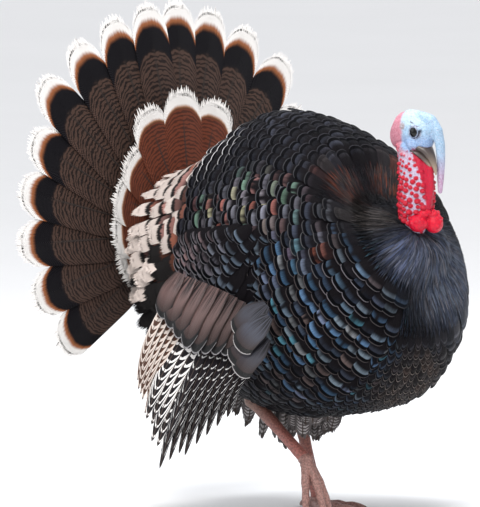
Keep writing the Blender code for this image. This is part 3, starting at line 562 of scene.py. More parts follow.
# band tints of the shining tracts: the feathers' own iridescent colours, brightened to match their highlights, so
# partly painted highlight
SHINE = ((0.095, 0.270, 0.360), (0.085, 0.160, 0.280), (0.170, 0.220, 0.270), (0.060, 0.130, 0.230),
         (0.150, 0.210, 0.280), (0.025, 0.030, 0.045), (0.140, 0.170, 0.260), (0.150, 0.110, 0.105),
         (0.040, 0.055, 0.085), (0.190, 0.200, 0.215))
GREY_SHINE = ((0.130, 0.120, 0.135), (0.070, 0.075, 0.110), (0.075, 0.160, 0.200), (0.030, 0.030, 0.040),
              (0.250, 0.080, 0.055), (0.100, 0.095, 0.100))
TILES = ((0.330, 0.110, 0.085), (0.240, 0.120, 0.115), (0.300, 0.280, 0.180), (0.180, 0.290, 0.220),
         (0.190, 0.195, 0.240), (0.150, 0.150, 0.180), (0.240, 0.180, 0.170), (0.280, 0.130, 0.110),
         (0.130, 0.120, 0.140))
STREAM = ((0.030, 0.040, 0.065), (0.012, 0.012, 0.018), (0.070, 0.120, 0.180))
BLACK = ((0.010, 0.010, 0.014), (0.028, 0.030, 0.042), (0.006, 0.006, 0.008))
SCALLOP = ((0.050, 0.042, 0.040), (0.030, 0.026, 0.027), (0.080, 0.055, 0.045))
PATCHES = (  # polar, azimuth, reach in metres, band colours, black edge, rim colour, rim share
    (62.0, -124.0, 0.175, SHINE, 1.0, (0.11, 0.09, 0.09), 0.45),
    (43.0, -92.0, 0.040, GREY_SHINE, 0.9, (0.14, 0.14, 0.15), 0.50),
    (36.0, -118.0, 0.048, STREAM, 1.0, (0.16, 0.15, 0.17), 0.80),
    (58.0, 178.0, 0.085, SCALLOP, 0.7, (0.26, 0.22, 0.20), 1.0),
    (56.0, -62.0, 0.045, TILES, 1.0, (0.16, 0.16, 0.18), 0.30),
    (72.0, -60.0, 0.060, TILES, 1.0, (0.16, 0.16, 0.18), 0.30),
    (90.0, -62.0, 0.055, TILES, 1.0, (0.16, 0.16, 0.18), 0.30),
    (66.0, -8.0, 0.120, BLACK, 1.0, (0.10, 0.10, 0.12), 0.30),
    (100.0, -24.0, 0.070, BLACK, 1.0, (0.62, 0.61, 0.62), 1.0),
    (34.0, -28.0, 0.050, ((0.150, 0.050, 0.034), (0.070, 0.055, 0.052), (0.040, 0.036, 0.042)), 0.0,
     (0.12, 0.11, 0.11), 0.0),
    (19.0, -62.0, 0.050, ((0.070, 0.062, 0.060), (0.046, 0.043, 0.044)), 0.0, (0.12, 0.11, 0.11), 0.0),
    # the breast lobes: blue-violet and grey-blue painted sheen over the dark breast feathers
    (14.0, -140.0, 0.050, ((0.110, 0.135, 0.230), (0.130, 0.140, 0.190)), 0.0, (0.12, 0.12, 0.13), 0.0),
    (24.0, 140.0, 0.110, ((0.150, 0.175, 0.230), (0.170, 0.170, 0.200), (0.110, 0.130, 0.190)), 0.0,
     (0.12, 0.13, 0.16), 0.0),
)
BASE_BAND = np.array((0.018, 0.020, 0.028, 1.0))
BASE_RIM = np.array((0.12, 0.12, 0.13, 0.30))
MOUND_HEIGHT = 0.036  # of the feathers that rise round the foot of the neck
MOUND_POLARS = (8.0, 24.0)
BODY_TRACTS = (  # name, kind, polar range, azimuth range, the coat that gives its slot, whether it replaces it
    ("ruff_feathers", "hair", (2.0, 23.0), (0.0, 360.0), "neck_ruff", True),
    ("collar_feathers", "hair", (23.0, 39.0), (-66.0, 200.0), "neck_ruff", False),
    ("breast_feathers", "broad", (39.0, 98.0), (118.0, 164.0), "breast_coat", True),
    ("lower_breast_feathers", "small", (40.0, 92.0), (164.0, 204.0), "breast_coat", False),
    ("breast_side_feathers", "broad", (23.0, 98.0), (204.0, 242.0), "breast_coat", False),
    ("back_feathers", "broad", (39.0, 104.0), (-58.0, 58.0), "back_coat", True),
    ("flank_feathers_left", "broad", (39.0, 150.0), (58.0, 118.0), "flank_coat_left", True),
    ("flank_feathers_right", "broad", (23.0, 150.0), (-118.0, -58.0), "flank_coat_right", True),
    ("belly_feathers", "broad", (92.0, 168.0), (118.0, 242.0), "belly_coat", True),
)


def polar_of(points):
    return np.degrees(np.arccos(np.clip(unit(points - BODY_CENTRE) @ NECK_WAY, -1.0, 1.0)))


def mound(polars):
    return MOUND_HEIGHT * (1.0 - smooth(polars, *MOUND_POLARS))


def tint_body(points):
    """Band and rim tints of body feathers, from the patches of plumage they grow in."""
    count = len(points)
    band = np.tile(BASE_BAND, (count, 1))
    rim = np.tile(BASE_RIM, (count, 1))
    mirrored = points * np.array((1.0, -1.0, 1.0))
    nearest = np.where(points[:, 1:2] > 0.0, mirrored, points)
    for polar, azimuth, reach, colours, edge, rim_colour, rim_share in PATCHES:
        own = points if abs(azimuth) > 120.0 else nearest
        weight = np.exp(-(np.linalg.norm(own - body_at(polar, azimuth), axis=1) / reach) ** 4)[:, None]
        chosen = np.array(colours)[random.integers(0, len(colours), count)]
        target = np.concatenate((chosen, np.full((count, 1), edge)), axis=1)
        band = blend(band, target, weight)
        rim = blend(rim, np.array((*rim_colour, rim_share)), weight)
    band[:, :3] *= random.uniform(0.45, 1.40, (count, 1))
    return band, rim


def tract_roots(polar_range, azimuth_range, row_step, pitch):
    """Roots in rows of equal polar angle, and the way the feathers point, away from the neck."""
    polars, azimuths = [], []
    first, last = azimuth_range
    row = 0
    polar = polar_range[0] + 0.5 * row_step
    while polar < polar_range[1]:
        radius = np.linalg.norm(body_at(polar, 0.5 * (first + last)) - BODY_CENTRE)
        around = math.radians(last - first) * radius * math.sin(math.radians(polar))
        count = max(3, round(around / pitch))
        stagger = 0.5 * (row % 2) + random.uniform(-0.1, 0.1, count)
        azimuths.append(first + (last - first) * (np.arange(count) + 0.25 + stagger) / count)
        polars.append(np.full(count, polar) + random.normal(0.0, 0.06 * row_step, count))
        polar += row_step
        row += 1
    polars = np.concatenate(polars)
    azimuths = np.concatenate(azimuths)
    roots = body_at(polars, azimuths)
    ways = unit(body_at(polars + 1.0, azimuths) - roots)
    return polars, azimuths, roots, ways


def build_body_tract(name, kind, polar_range, azimuth_range, coat, replacing, material):
    row_step, pitch, width, length, tall, rows, columns, tip_round, squareness = KINDS[kind]
    _polars, _azimuths, roots, ways = tract_roots(polar_range, azimuth_range, row_step, pitch)
    roots = on_body(roots - ways * (0.5 * length))
    count = len(roots)
    normals = body_normal(roots)
    ways = unit(ways + np.cross(normals, ways) * random.normal(0.0, 0.06, (count, 1)))
    shape = outline(rows, columns, tip_round=tip_round, squareness=squareness)
    band, rim = tint_body(on_body(roots + ways * 0.7 * length))
    low = np.full(count, -0.0030 * tall)
    high = (0.0080 + random.uniform(-0.0020, 0.0020, count)) * tall
    grids = hugging(roots, ways, length * random.uniform(0.94, 1.06, count),
                    width * random.uniform(0.9, 1.12, count), shape, low, high, camber=0.0018 * tall)
    groups = [feather_group(grids, shape[2], band, rim)]
    add_feathers(name, groups, "body", material, frame_slot(coat), (coat,) if replacing else ())


def frame_slot(node):
    """The record's material slot of a CAD node."""
    for part in frame["record"]["subparts"]:
        if part["node"] == node:
            return part["material_slot"]


def build_under_skin(material):
    """Dark down under the feathers, closed all over, so that nothing shows between them."""
    polars = np.linspace(1.0, 179.0, 60)
    azimuths = np.linspace(0.0, 360.0, 73)
    grid = body_at(polars[:, None], azimuths[None, :], mound(polars)[:, None] - 0.0060)
    uv = np.stack(np.meshgrid(azimuths / 360.0, polars / 180.0), axis=-1)
    groups = [feather_group(grid[None], uv[None])]
    add_feathers("under_down", groups, "body", material, frame_slot("belly_coat"))


RUMP_ROWS = (100.0, 105.5, 111.0, 116.5, 122.5, 129.0, 136.0, 143.0, 150.0, 157.0, 164.0)  # polar degrees
RUMP_REACH = 176.0  # degrees of azimuth each side of the back
RUMP_BARBS = 18


def build_rump(material):
    """Arcs of broad cream-edged feathers that stand up in front of the fan."""
    turns = [np.arange(-RUMP_REACH, RUMP_REACH, 8.0) + 4.0 * (row % 2) for row in range(len(RUMP_ROWS))]
    azimuths = np.concatenate(turns)
    polars = np.concatenate([np.full(len(turn), polar) for turn, polar in zip(turns, RUMP_ROWS)])
    clear = (polars < 146.0) | (np.abs(azimuths) > 100.0)
    polars = polars[clear]
    azimuths = azimuths[clear]
    polars = polars + random.normal(0.0, 0.9, len(polars))
    azimuths = azimuths + random.normal(0.0, 1.0, len(azimuths))
    roots = body_at(polars, azimuths)
    ways = unit(body_at(polars + 1.0, azimuths) - roots)
    count = len(roots)
    normals = body_normal(roots)
    lift = (smooth(polars, 96.0, 140.0) * (1.0 - smooth(np.abs(azimuths), 84.0, 112.0)))[:, None]
    ways = unit(blend(ways, 0.60 * ways + 0.80 * normals, lift))
    outward = unit(roots - np.array((TAIL_HUB[0], 0.0, TAIL_HUB[2])))
    ways = unit(ways + 0.30 * lift * outward)
    shape = outline(10, 9, root_width=0.5, tip_round=0.10, squareness=2.6)
    lengths = blend(0.066, 0.088, lift[:, 0]) * random.uniform(0.94, 1.06, count)
    widths = 0.037 * random.uniform(0.85, 1.1, count)
    ways = unit(ways + np.cross(normals, ways) * random.normal(0.0, 0.08, (count, 1)))
    grids = blades(roots - ways * 0.014, ways, normals, lengths, widths, shape, 0.10, random.uniform(-0.08, -0.03, count))
    copper = random.uniform(0.0, 1.0, (count, 1))
    band = np.concatenate((blend(np.array((0.30, 0.10, 0.06)), np.array((0.42, 0.22, 0.20)), copper),
                           np.ones((count, 1))), axis=1)
    upper = 1.0 - smooth(np.abs(azimuths), 54.0, 82.0)
    cream = random.uniform(0.0, 1.0, count) < upper
    band[:, :3] *= (random.uniform(0.15, 0.75, count) * np.where(cream, 1.0, 0.4))[:, None]
    band[~cream, :3] = np.array((0.080, 0.026, 0.015)) * random.uniform(0.5, 1.3, (count - cream.sum(), 1))
    share = np.where(cream, random.uniform(0.75, 1.0, count), 0.0)
    rim = np.concatenate((np.tile((0.66, 0.60, 0.56), (count, 1)), share[:, None]), axis=1)
    strips, strip_uv = fringe(grids, RUMP_BARBS, 0.009)
    groups = [feather_group(grids, shape[2], band, rim),
              feather_group(strips, strip_uv, np.repeat(band, RUMP_BARBS, axis=0), np.repeat(rim, RUMP_BARBS, axis=0))]
    add_feathers("rump_feathers", groups, "body", material, frame_slot("rump_coat"), ("rump_coat",))


VENT_TIPS = ((-0.185, 0.02, 0.165), (-0.150, 0.03, 0.118), (-0.073, 0.03, 0.098), (0.000, 0.02, 0.128),
             (0.070, 0.00, 0.170))
VENT_ROOTS = ((-0.150, 0.01, 0.285), (-0.110, 0.01, 0.230), (-0.040, 0.01, 0.210), (0.030, 0.0, 0.200),
              (0.090, 0.00, 0.215))
VENT_COUNT = 54


def build_vent(material):
    """Loose wavy-barred feathers that hang below the belly, behind and between the legs."""
    shares = random.uniform(0.0, 1.0, VENT_COUNT)
    aside = random.uniform(-0.05, 0.05, VENT_COUNT)[:, None] * LEFT
    roots = along_path(VENT_ROOTS, shares) + aside
    tips = along_path(VENT_TIPS, shares) + 0.8 * aside
    tips = roots + (tips - roots) * random.uniform(0.55, 1.0, (VENT_COUNT, 1))
    turn = np.array(((0.72, -0.69, 0.10),)) + random.normal(0.0, 0.5, (VENT_COUNT, 3))
    shape = outline(12, 7, root_width=0.5, tip_round=0.30, squareness=2.0)
    ways = tips - roots
    lengths = np.linalg.norm(ways, axis=1)
    grids = blades(roots, ways, unit(turn), lengths, random.uniform(0.020, 0.034, VENT_COUNT), shape, 0.15, -0.10)
    shade = random.uniform(0.4, 1.2, (VENT_COUNT, 1))
    band = np.concatenate((np.array((0.10, 0.09, 0.09)) * shade, np.full((VENT_COUNT, 1), 0.50)), axis=1)
    rim = np.concatenate((np.array((0.42, 0.40, 0.40)) * shade, np.ones((VENT_COUNT, 1))), axis=1)
    strips, strip_uv = fringe(grids, 9, 0.010)
    groups = [feather_group(grids, shape[2], band, rim),
              feather_group(strips, strip_uv, np.repeat(band, 9, axis=0), np.repeat(rim, 9, axis=0))]
    add_feathers("vent_feathers", groups, "body", material, frame_slot("belly_coat"))


# ---------------------------------------------------------------- tail fan
TAIL_HUB = np.array(JOINTS["fan_fold"]["pos_m"])
TAIL_FRONT = -unit(JOINTS["fan_fold"]["axis"])
TAIL_UP = np.cross(TAIL_FRONT, LEFT)
TAIL_PER_SIDE = 9
TAIL_ANGLES = [5.5 + 12.4 * number + 0.24 * number ** 2 for number in range(TAIL_PER_SIDE)]
TAIL_LENGTHS = [0.421 - 0.053 * (number / (TAIL_PER_SIDE - 1)) ** 3 for number in range(TAIL_PER_SIDE)]
TAIL_WIDTH = 0.086
TAIL_TRIMS = {2: (0.5, 0.004), 3: (1.5, 0.014), 4: (1.5, -0.014), 5: (0.8, -0.008)}  # degrees, length
FEATHER_PITCH = 0.0015
COVERTS = (  # angle, length, the feather of its side that it rides on
    (0.0, 0.265, 1),
    (22.0, 0.255, 2),
    (43.0, 0.212, 4),
    (65.0, 0.205, 6),
    (86.0, 0.198, 7),
    (106.0, 0.192, 8),
    (127.0, 0.182, 9),
)
COVERT_WIDTH = 0.092
CAD_COVERTS = {(0.0, "right"): 1, (22.0, "left"): 2, (22.0, "right"): 3, (43.0, "left"): 4, (43.0, "right"): 5}


def layer_depth(layer):
    """How far in front of the hub a feather layer lies; layer 0 is the front tail feather."""
    return FEATHER_PITCH * (TAIL_PER_SIDE - 0.5 - layer)


def fan_feather(name, angle, length, width, depth, body, look, node, barbs, reach, curl):
    turn = math.radians(angle)
    radial = math.cos(turn) * TAIL_UP + math.sin(turn) * LEFT
    shape = outline(44, 17, root_width=0.10, tip_round=0.10, squareness=3.0, swell=0.62)
    root = (TAIL_HUB + TAIL_FRONT * depth)[None]
    grids = blades(root, radial[None], TAIL_FRONT[None], [length], [width], shape, camber=0.030, curl=curl)
    strips, strip_uv = fringe(grids, barbs, reach)
    shade = random.uniform(0.7, 1.2)
    band = np.array(((0.050 * shade, 0.030 * shade, 0.022 * shade, 1.0),))
    quill = quill_grid(root[0], radial, length)
    groups = [
        feather_group(grids, shape[2], band),
        feather_group(strips, strip_uv, band),
        feather_group(quill[0], quill[1], band),
    ]
    add_feathers(name, groups, body, look, frame_slot(node), (node,))


def quill_grid(root, radial, length):
    """A raised half-round shaft that tapers along the feather."""
    side = np.cross(TAIL_FRONT, radial)
    shares = np.linspace(0.0, 0.9, 16)
    radius = 0.0013 * (1.0 - 0.75 * shares)
    around = np.linspace(-0.5 * math.pi, 0.5 * math.pi, 5)
    points = (
        root
        + radial * (shares * length)[:, None, None]
        + side * (radius[:, None] * np.sin(around)[None, :])[..., None]
        + TAIL_FRONT * (radius[:, None] * np.cos(around)[None, :] * 0.45)[..., None]
    )
    uv = np.stack((np.full((16, 5), 0.5), shares[:, None] * np.ones((1, 5))), axis=-1)
    return points[None], uv[None]


def build_tail():
    tail = tail_look("tail_feathers", (0.062, 0.036, 0.028), (0.005, 0.004, 0.005), (0.26, 0.090, 0.035),
                     (0.812, 0.920, 0.948), 46.0)
    covert = tail_look("tail_coverts", (0.135, 0.036, 0.018), (0.045, 0.015, 0.010), (0.34, 0.15, 0.07),
                       (0.893, 0.894, 0.912), 34.0)
    for number in range(TAIL_PER_SIDE):
        for shift, (side, sign) in enumerate(SIDES):
            node = f"tail_feather_{side}_{number + 1}"
            turned, trimmed = TAIL_TRIMS.get(number, (0.0, 0.0))
            length = TAIL_LENGTHS[number] + trimmed - 0.007 - 0.0010 * number
            fan_feather("fan_" + node, sign * (TAIL_ANGLES[number] + turned), length, TAIL_WIDTH,
                        layer_depth(2 * number + shift), f"feather_{side}_{number + 1}", tail, node, 34, 0.014,
                        -0.012)
    layer = -1.0 - 2.0 * (len(COVERTS) - 1)
    for angle, length, home in COVERTS:
        for side, sign in SIDES[:1] if angle == 0.0 else SIDES:
            number = CAD_COVERTS.get((angle, side))
            node = f"tail_covert_{number}" if number else None
            name = f"fan_covert_{side}_{home}"
            body = f"feather_{side}_{home}"
            slot_node = node or "tail_covert_1"
            covert_feather(name, sign * angle, length, layer, body, covert, slot_node, node)
            layer += 1.0


def covert_feather(name, angle, length, layer, body, look, slot_node, node):
    turn = math.radians(angle)
    radial = math.cos(turn) * TAIL_UP + math.sin(turn) * LEFT
    shape = outline(30, 17, root_width=0.16, tip_round=0.13, squareness=2.8, swell=0.78)
    root = (TAIL_HUB + TAIL_FRONT * layer_depth(layer))[None]
    grids = blades(root, radial[None], TAIL_FRONT[None], [length - 0.012], [COVERT_WIDTH], shape, 0.03, 0.02)
    strips, strip_uv = fringe(grids, 34, 0.016)
    band = np.array(((0.11, 0.030, 0.016, 1.0),)) * random.uniform(0.75, 1.15)
    groups = [feather_group(grids, shape[2], band), feather_group(strips, strip_uv, band)]
    add_feathers(name, groups, body, look, frame_slot(slot_node), (node,) if node else ())


# ---------------------------------------------------------------- wings
ARM_ROWS = 8
ARM_COLUMNS = 11
ARM_TOP = np.array(((0.150, -0.21, 0.530), (-0.095, -0.24, 0.505)))
ARM_LOW = np.array(((0.150, -0.24, 0.405), (-0.045, -0.25, 0.462)))
ARM_WAY = unit((-0.66, 0.0, -0.75))
SATIN_COUNT = 8
SATIN_ROOTS = ((-0.036, -0.252, 0.446), (0.060, -0.250, 0.425), (0.120, -0.240, 0.400))
SATIN_TIPS = ((-0.046, -0.288, 0.366), (0.035, -0.304, 0.312), (0.104, -0.288, 0.312))
FLIGHT_GROUPS = (  # name, count, root ends, tip ends, width, ground and how much of it shows, bars
    ("secondaries", 6, ((-0.056, -0.262, 0.400), (-0.006, -0.270, 0.352)),
     ((-0.088, -0.312, 0.252), (-0.058, -0.325, 0.205)), 0.021, (0.58, 0.50, 0.45, 0.36), (0.075, 0.034, 0.022, 1.0)),
    ("lozenged", 5, ((-0.002, -0.275, 0.350), (0.062, -0.283, 0.325)),
     ((-0.052, -0.328, 0.195), (-0.016, -0.338, 0.125)), 0.031, (0.74, 0.71, 0.69, 0.16), (0.010, 0.008, 0.010, 1.0)),
    ("primaries", 8, ((0.056, -0.283, 0.335), (0.148, -0.262, 0.320)),
     ((-0.010, -0.340, 0.106), (0.040, -0.318, 0.140), (0.100, -0.286, 0.208)), 0.023,
     (0.008, 0.006, 0.008, 0.95), (0.66, 0.65, 0.64, 0.0)),
)
APRON_ROOTS = ((0.165, -0.236, 0.405), (0.172, -0.246, 0.365), (0.170, -0.250, 0.330))
APRON_TIPS = ((0.128, -0.276, 0.350), (0.128, -0.286, 0.300), (0.132, -0.284, 0.262))
APRON_COUNT = 2
APRON_SHIFT = {"right": np.zeros(3), "left": np.array((-0.045, 0.034, 0.020))}
FLIGHT_LEVELS = (0.35, 0.11)  # heights between which a held-up wing lifts its tips more and more
TIP_SHIFT = {"right": np.zeros(3), "left": np.array((-0.025, 0.036, 0.085))}


def mirror(points, sign):
    """Right-side points as they are for sign -1, or their mirror image for sign +1."""
    return np.asarray(points, float) * np.array((1.0, -sign, 1.0))


def build_wing_arm(side, sign, plumage):
    """Rows of squarish shining coverts over the wing's arm."""
    rows = []
    for row in range(ARM_ROWS):
        down = row / (ARM_ROWS - 1)
        start = blend(ARM_TOP[0], ARM_LOW[0], down)
        end = blend(ARM_TOP[1], ARM_LOW[1], down)
        shares = (np.arange(ARM_COLUMNS) + 0.5 * (row % 2)) / ARM_COLUMNS
        rows.append(start + (end - start) * shares[:, None])
    roots = on_body(np.concatenate(rows))
    count = len(roots)
    normals = body_normal(roots)
    ways = unit(ARM_WAY - normals * (normals @ ARM_WAY)[:, None])
    ways = unit(ways + np.cross(normals, ways) * random.normal(0.0, 0.10, (count, 1)))
    shape = outline(8, 9, tip_round=0.085, squareness=3.4)
    lengths = 0.062 * random.uniform(0.85, 1.15, count)
    widths = 0.030 * random.uniform(0.8, 1.1, count)
    sunk = 0.013 * smooth(roots[:, 0], 0.075, 0.125)
    lengths = lengths * blend(0.55, 1.0, np.clip(np.repeat(np.arange(ARM_ROWS), ARM_COLUMNS) / 3.0, 0.0, 1.0))
    grids = hugging(roots - ways * 0.018, ways, lengths, widths, shape, 0.0115 - sunk,
                    0.0200 - sunk + random.uniform(-0.0015, 0.0015, count))
    back = smooth(-roots[:, 0], -0.10, 0.06)[:, None]
    tint = blend(np.array((0.090, 0.120, 0.160)), np.array((0.170, 0.155, 0.175)), back)
    pink = random.uniform(0.0, 1.0, (count, 1)) * back
    tint = blend(tint, np.array((0.30, 0.14, 0.12)), 0.6 * pink) * random.uniform(0.3, 1.3, (count, 1))
    band = np.concatenate((tint, np.ones((count, 1))), axis=1)
    rim = np.concatenate((np.tile((0.30, 0.29, 0.32), (count, 1)), blend(0.15, 0.6, back)), axis=1)
    groups = [feather_group(mirror(grids, sign), shape[2], band, rim)]
    add_feathers("wing_coverts_" + side, groups, "wing_" + side, plumage, frame_slot("wing_arm_" + side))


def bowed(roots, tips, widths, shape, outward, bow, camber):
    """Feathers between given roots and tips, bowed outwards."""
    across, along, _uv = shape
    ways = tips - roots
    lengths = np.linalg.norm(ways, axis=1)
    grids = blades(roots, ways, np.broadcast_to(outward, roots.shape), lengths, widths, shape, camber)
    hump = np.sin(math.pi * np.clip(along, 0.0, 1.0))
    return grids + outward * (per_feather(bow) * hump)[..., None]


def build_wing_satin(side, sign, satin):
    shares = np.linspace(1.0, 0.0, SATIN_COUNT)
    roots = along_path(SATIN_ROOTS, shares)
    tips = along_path(SATIN_TIPS, shares)
    outward = unit((0.0, -1.0, 0.10))
    stack = np.arange(SATIN_COUNT)[:, None] * 0.0012
    shape = outline(16, 9, root_width=0.6, tip_round=0.26, squareness=2.2, swell=0.5)
    lift = outward * (stack + 0.006)
    grids = bowed(roots + lift, tips + lift, np.full(SATIN_COUNT, 0.044), shape, outward,
                  np.full(SATIN_COUNT, 0.012), 0.05)
    shades = random.uniform(0.80, 1.15, (SATIN_COUNT, 1))
    band = np.concatenate((np.tile((0.165, 0.100, 0.093), (SATIN_COUNT, 1)) * shades, np.ones((SATIN_COUNT, 1))), 1)
    # painted shade: the feathers darken towards the front end of the panel
    band[:, :3] *= blend(0.45, 1.0, 1.0 - shares[:, None])
    rim = np.tile((0.50, 0.48, 0.50, 0.35), (SATIN_COUNT, 1))
    groups = [feather_group(mirror(grids, sign), shape[2], band, rim)]
    node = "wing_arm_" + side
    add_feathers("wing_satin_" + side, groups, "wing_" + side, satin, frame_slot(node), (node,))


def build_wing_apron(side, sign, satin):
    """Large dark feathers at the wing's front edge, over the roots of its flight feathers."""
    outward = unit((0.0, -1.0, 0.10))
    shape = outline(10, 9, tip_round=0.16, squareness=2.6)
    grids = []
    for layer, shift in enumerate((0.0, 0.5)):
        shares = (np.arange(APRON_COUNT) + shift) / APRON_COUNT
        lift = outward * (0.012 + 0.004 * layer)
        lift = lift + APRON_SHIFT[side] + FORWARD * (0.014 * layer)
        roots = along_path(APRON_ROOTS, shares) + lift
        tips = along_path(APRON_TIPS, shares) + lift
        grids.append(bowed(roots, tips, np.full(APRON_COUNT, 0.056), shape, outward, np.full(APRON_COUNT, 0.008), 0.08))
    grids = np.concatenate(grids)
    count = len(grids)
    chosen = np.array((0.038, 0.046, 0.064)) * random.uniform(0.6, 1.4, (count, 1))
    band = np.concatenate((chosen, np.ones((count, 1))), axis=1)
    rim = np.tile((0.40, 0.38, 0.38, 0.7), (count, 1))
    groups = [feather_group(mirror(grids, sign), shape[2], band, rim)]
    add_feathers("wing_apron_" + side, groups, "wing_" + side, satin, frame_slot("wing_arm_" + side))


def build_wing_flights(side, sign, flight):
    outward = unit((0.0, -1.0, 0.15))
    shape = outline(30, 9, root_width=0.7, tip_round=0.35, squareness=1.8, swell=0.3)
    node = "wing_flight_" + side
    for order, (name, count, roots, tips, width, band, rim) in enumerate(FLIGHT_GROUPS):
        shares = np.linspace(0.0, 1.0, count)
        stack = outward * (0.0015 * (count - 1) * (1.0 - shares[:, None]) - 0.006 * order + 0.004)
        starts = along_path(roots, shares) + stack
        ends = along_path(tips, shares) + stack
        ends = ends + (ends - starts) * random.uniform(-0.05, 0.06, (count, 1))
        held = (FLIGHT_LEVELS[0] - ends[:, 2:]) / (FLIGHT_LEVELS[0] - FLIGHT_LEVELS[1])
        ends = ends + TIP_SHIFT[side] * held
        grids = bowed(starts, ends, np.full(count, width), shape, outward, np.full(count, 0.012), 0.06)
        groups = [feather_group(mirror(grids, sign), shape[2], np.tile(band, (count, 1)), np.tile(rim, (count, 1)))]
        replaced = (node,) if order == 0 else ()
        add_feathers(f"wing_{name}_{side}", groups, "wing_" + side, flight, frame_slot(node), replaced)


# ---------------------------------------------------------------- bare skin: joined forms
def ball_template(segments=14, rings=9):
    shape = bmesh.new()
    bmesh.ops.create_uvsphere(shape, u_segments=segments, v_segments=rings, radius=1.0)
    points = np.array([vertex.co[:] for vertex in shape.verts])
    faces = [[vertex.index for vertex in face.verts] for face in shape.faces]
    shape.free()
    return points, faces


def chain(stations, count):
    """Lumps (centre and radii, six numbers each) along a bent line of such stations."""
    return along_path(stations, np.linspace(0.0, 1.0, count))


def joined_form(name, lumps, voxel, steps):
    """One closed skin round many overlapping lumps."""
    points, faces = ball_template()
    centres, radii = lumps[:, :3], lumps[:, 3:]
    cloud = centres[:, None, :] + points[None] * radii[:, None, :]
    every_face = [[index + number * len(points) for index in face]
                  for number in range(len(lumps)) for face in faces]
    rough = bpy.data.meshes.new(name + "_rough")
    rough.from_pydata(cloud.reshape(-1, 3), [], every_face)
    holder = bpy.data.objects.new(name + "_rough", rough)
    bpy.context.scene.collection.objects.link(holder)
    remesh = holder.modifiers.new("Join", "REMESH")
    remesh.mode = "VOXEL"
    remesh.voxel_size = voxel
    relax = holder.modifiers.new("Relax", "SMOOTH")
    relax.iterations = steps
    graph = bpy.context.evaluated_depsgraph_get()
    mesh = bpy.data.meshes.new_from_object(holder.evaluated_get(graph))
    bpy.data.objects.remove(holder)
    bpy.data.meshes.remove(rough)
    mesh.name = name
    return mesh


def mesh_points(mesh):
    points = np.empty(3 * len(mesh.vertices))
    mesh.vertices.foreach_get("co", points)
    return points.reshape(-1, 3)


def add_skin(name, mesh, tint, body, material, slot, replaced):
    attribute = mesh.attributes.new("band", "FLOAT_COLOR", "POINT")
    pale = 1.0 - smooth(tint[:, :1] - tint[:, 2:], 0.18, 0.40)
    colours = np.concatenate((tint, pale), axis=1)
    attribute.data.foreach_set("color", colours.astype(np.float32).ravel())
    mesh.shade_smooth()
    mesh.materials.clear()
    mesh.materials.append(material)
    return place_piece(name, mesh, body, replaced)


def limb(stations, rows, columns, ridge=0.0, plates=0):
    """A tube of points through stations of x, y, z, half width and half depth.

    ridge sharpens its front; plates is how many overlapping scutes cross its front.
    """
    shares = np.linspace(0.0, 1.0, rows)
    path = along_path(stations, shares)
    for _step in range(2):
        path[1:-1] = (path[:-2] + 2.0 * path[1:-1] + path[2:]) / 4.0
    centres, wide, deep = path[:, :3], path[:, 3], path[:, 4]
    ways = unit(np.gradient(centres, axis=0))
    sides = unit(LEFT - ways * (ways @ LEFT)[:, None])
    fronts = np.cross(sides, ways)
    around = np.linspace(-math.pi, math.pi, columns)
    front = np.maximum(0.0, np.cos(around))[None, :]
    swell = 1.0 + ridge * front ** 4 + (0.07 * front ** 0.5 * ((shares * plates) % 1.0)[:, None] if plates else 0.0)
    points = (
        centres[:, None, :]
        + sides[:, None, :] * (wide[:, None] * np.sin(around) * swell)[..., None]
        + fronts[:, None, :] * (deep[:, None] * np.cos(around) * swell)[..., None]
    )
    uv = np.stack(np.meshgrid(np.linspace(0.0, 1.0, columns), shares), axis=-1)
    return points[None], uv[None]


# ---------------------------------------------------------------- head
SKULL = (  # x, y, z, radii in x, y and z, from the nape to the root of the beak
    (0.2490, 0.0, 0.698, 0.014, 0.019, 0.026),
    (0.2600, 0.0, 0.706, 0.016, 0.0240, 0.033),
    (0.2780, 0.0, 0.710, 0.017, 0.0275, 0.0355),
    (0.2950, 0.0, 0.708, 0.017, 0.0270, 0.0370),
    (0.3090, 0.0, 0.703, 0.014, 0.0235, 0.0320),
    (0.3190, 0.0, 0.700, 0.011, 0.0180, 0.0240),
)
NECK = (
    (0.284, 0.0, 0.526, 0.0220, 0.0210, 0.014),
    (0.287, 0.0, 0.545, 0.0240, 0.0235, 0.016),
    (0.292, 0.0, 0.575, 0.0315, 0.0280, 0.018),
    (0.294, 0.0, 0.610, 0.0340, 0.0280, 0.018),
    (0.291, 0.0, 0.645, 0.0330, 0.0265, 0.018),
    (0.282, 0.0, 0.680, 0.0310, 0.0250, 0.018),
)
WATTLE = (
    (0.310, 0.0, 0.672, 0.0125, 0.0100, 0.012),
    (0.322, 0.0, 0.645, 0.0125, 0.0075, 0.012),
    (0.324, 0.0, 0.610, 0.0120, 0.0080, 0.012),
    (0.318, 0.0, 0.575, 0.0110, 0.0100, 0.012),
)
SNOOD = (
    (0.306, 0.002, 0.733, 0.0110, 0.0120, 0.0100),
    (0.322, 0.007, 0.727, 0.0110, 0.0120, 0.0110),
    (0.334, 0.011, 0.709, 0.0100, 0.0110, 0.0110),
    (0.3390, 0.014, 0.684, 0.0085, 0.0095, 0.0100),
    (0.3400, 0.015, 0.655, 0.0075, 0.0080, 0.0100),
    (0.3380, 0.016, 0.625, 0.0062, 0.0065, 0.0090),
    (0.3370, 0.016, 0.603, 0.0042, 0.0045, 0.0060),
)
EYE_PLACE = np.array((0.311, 0.0225, 0.708))
EYE_RADIUS = 0.0105
LID_BALLS = 26
EAR_PLACE = np.array((0.283, 0.0265, 0.717))
CARUNCLE_ROWS = 13
CARUNCLE_HEIGHTS = (0.548, 0.676)
CARUNCLE_TURNS = (30.0, 176.0)  # degrees round the neck from its front
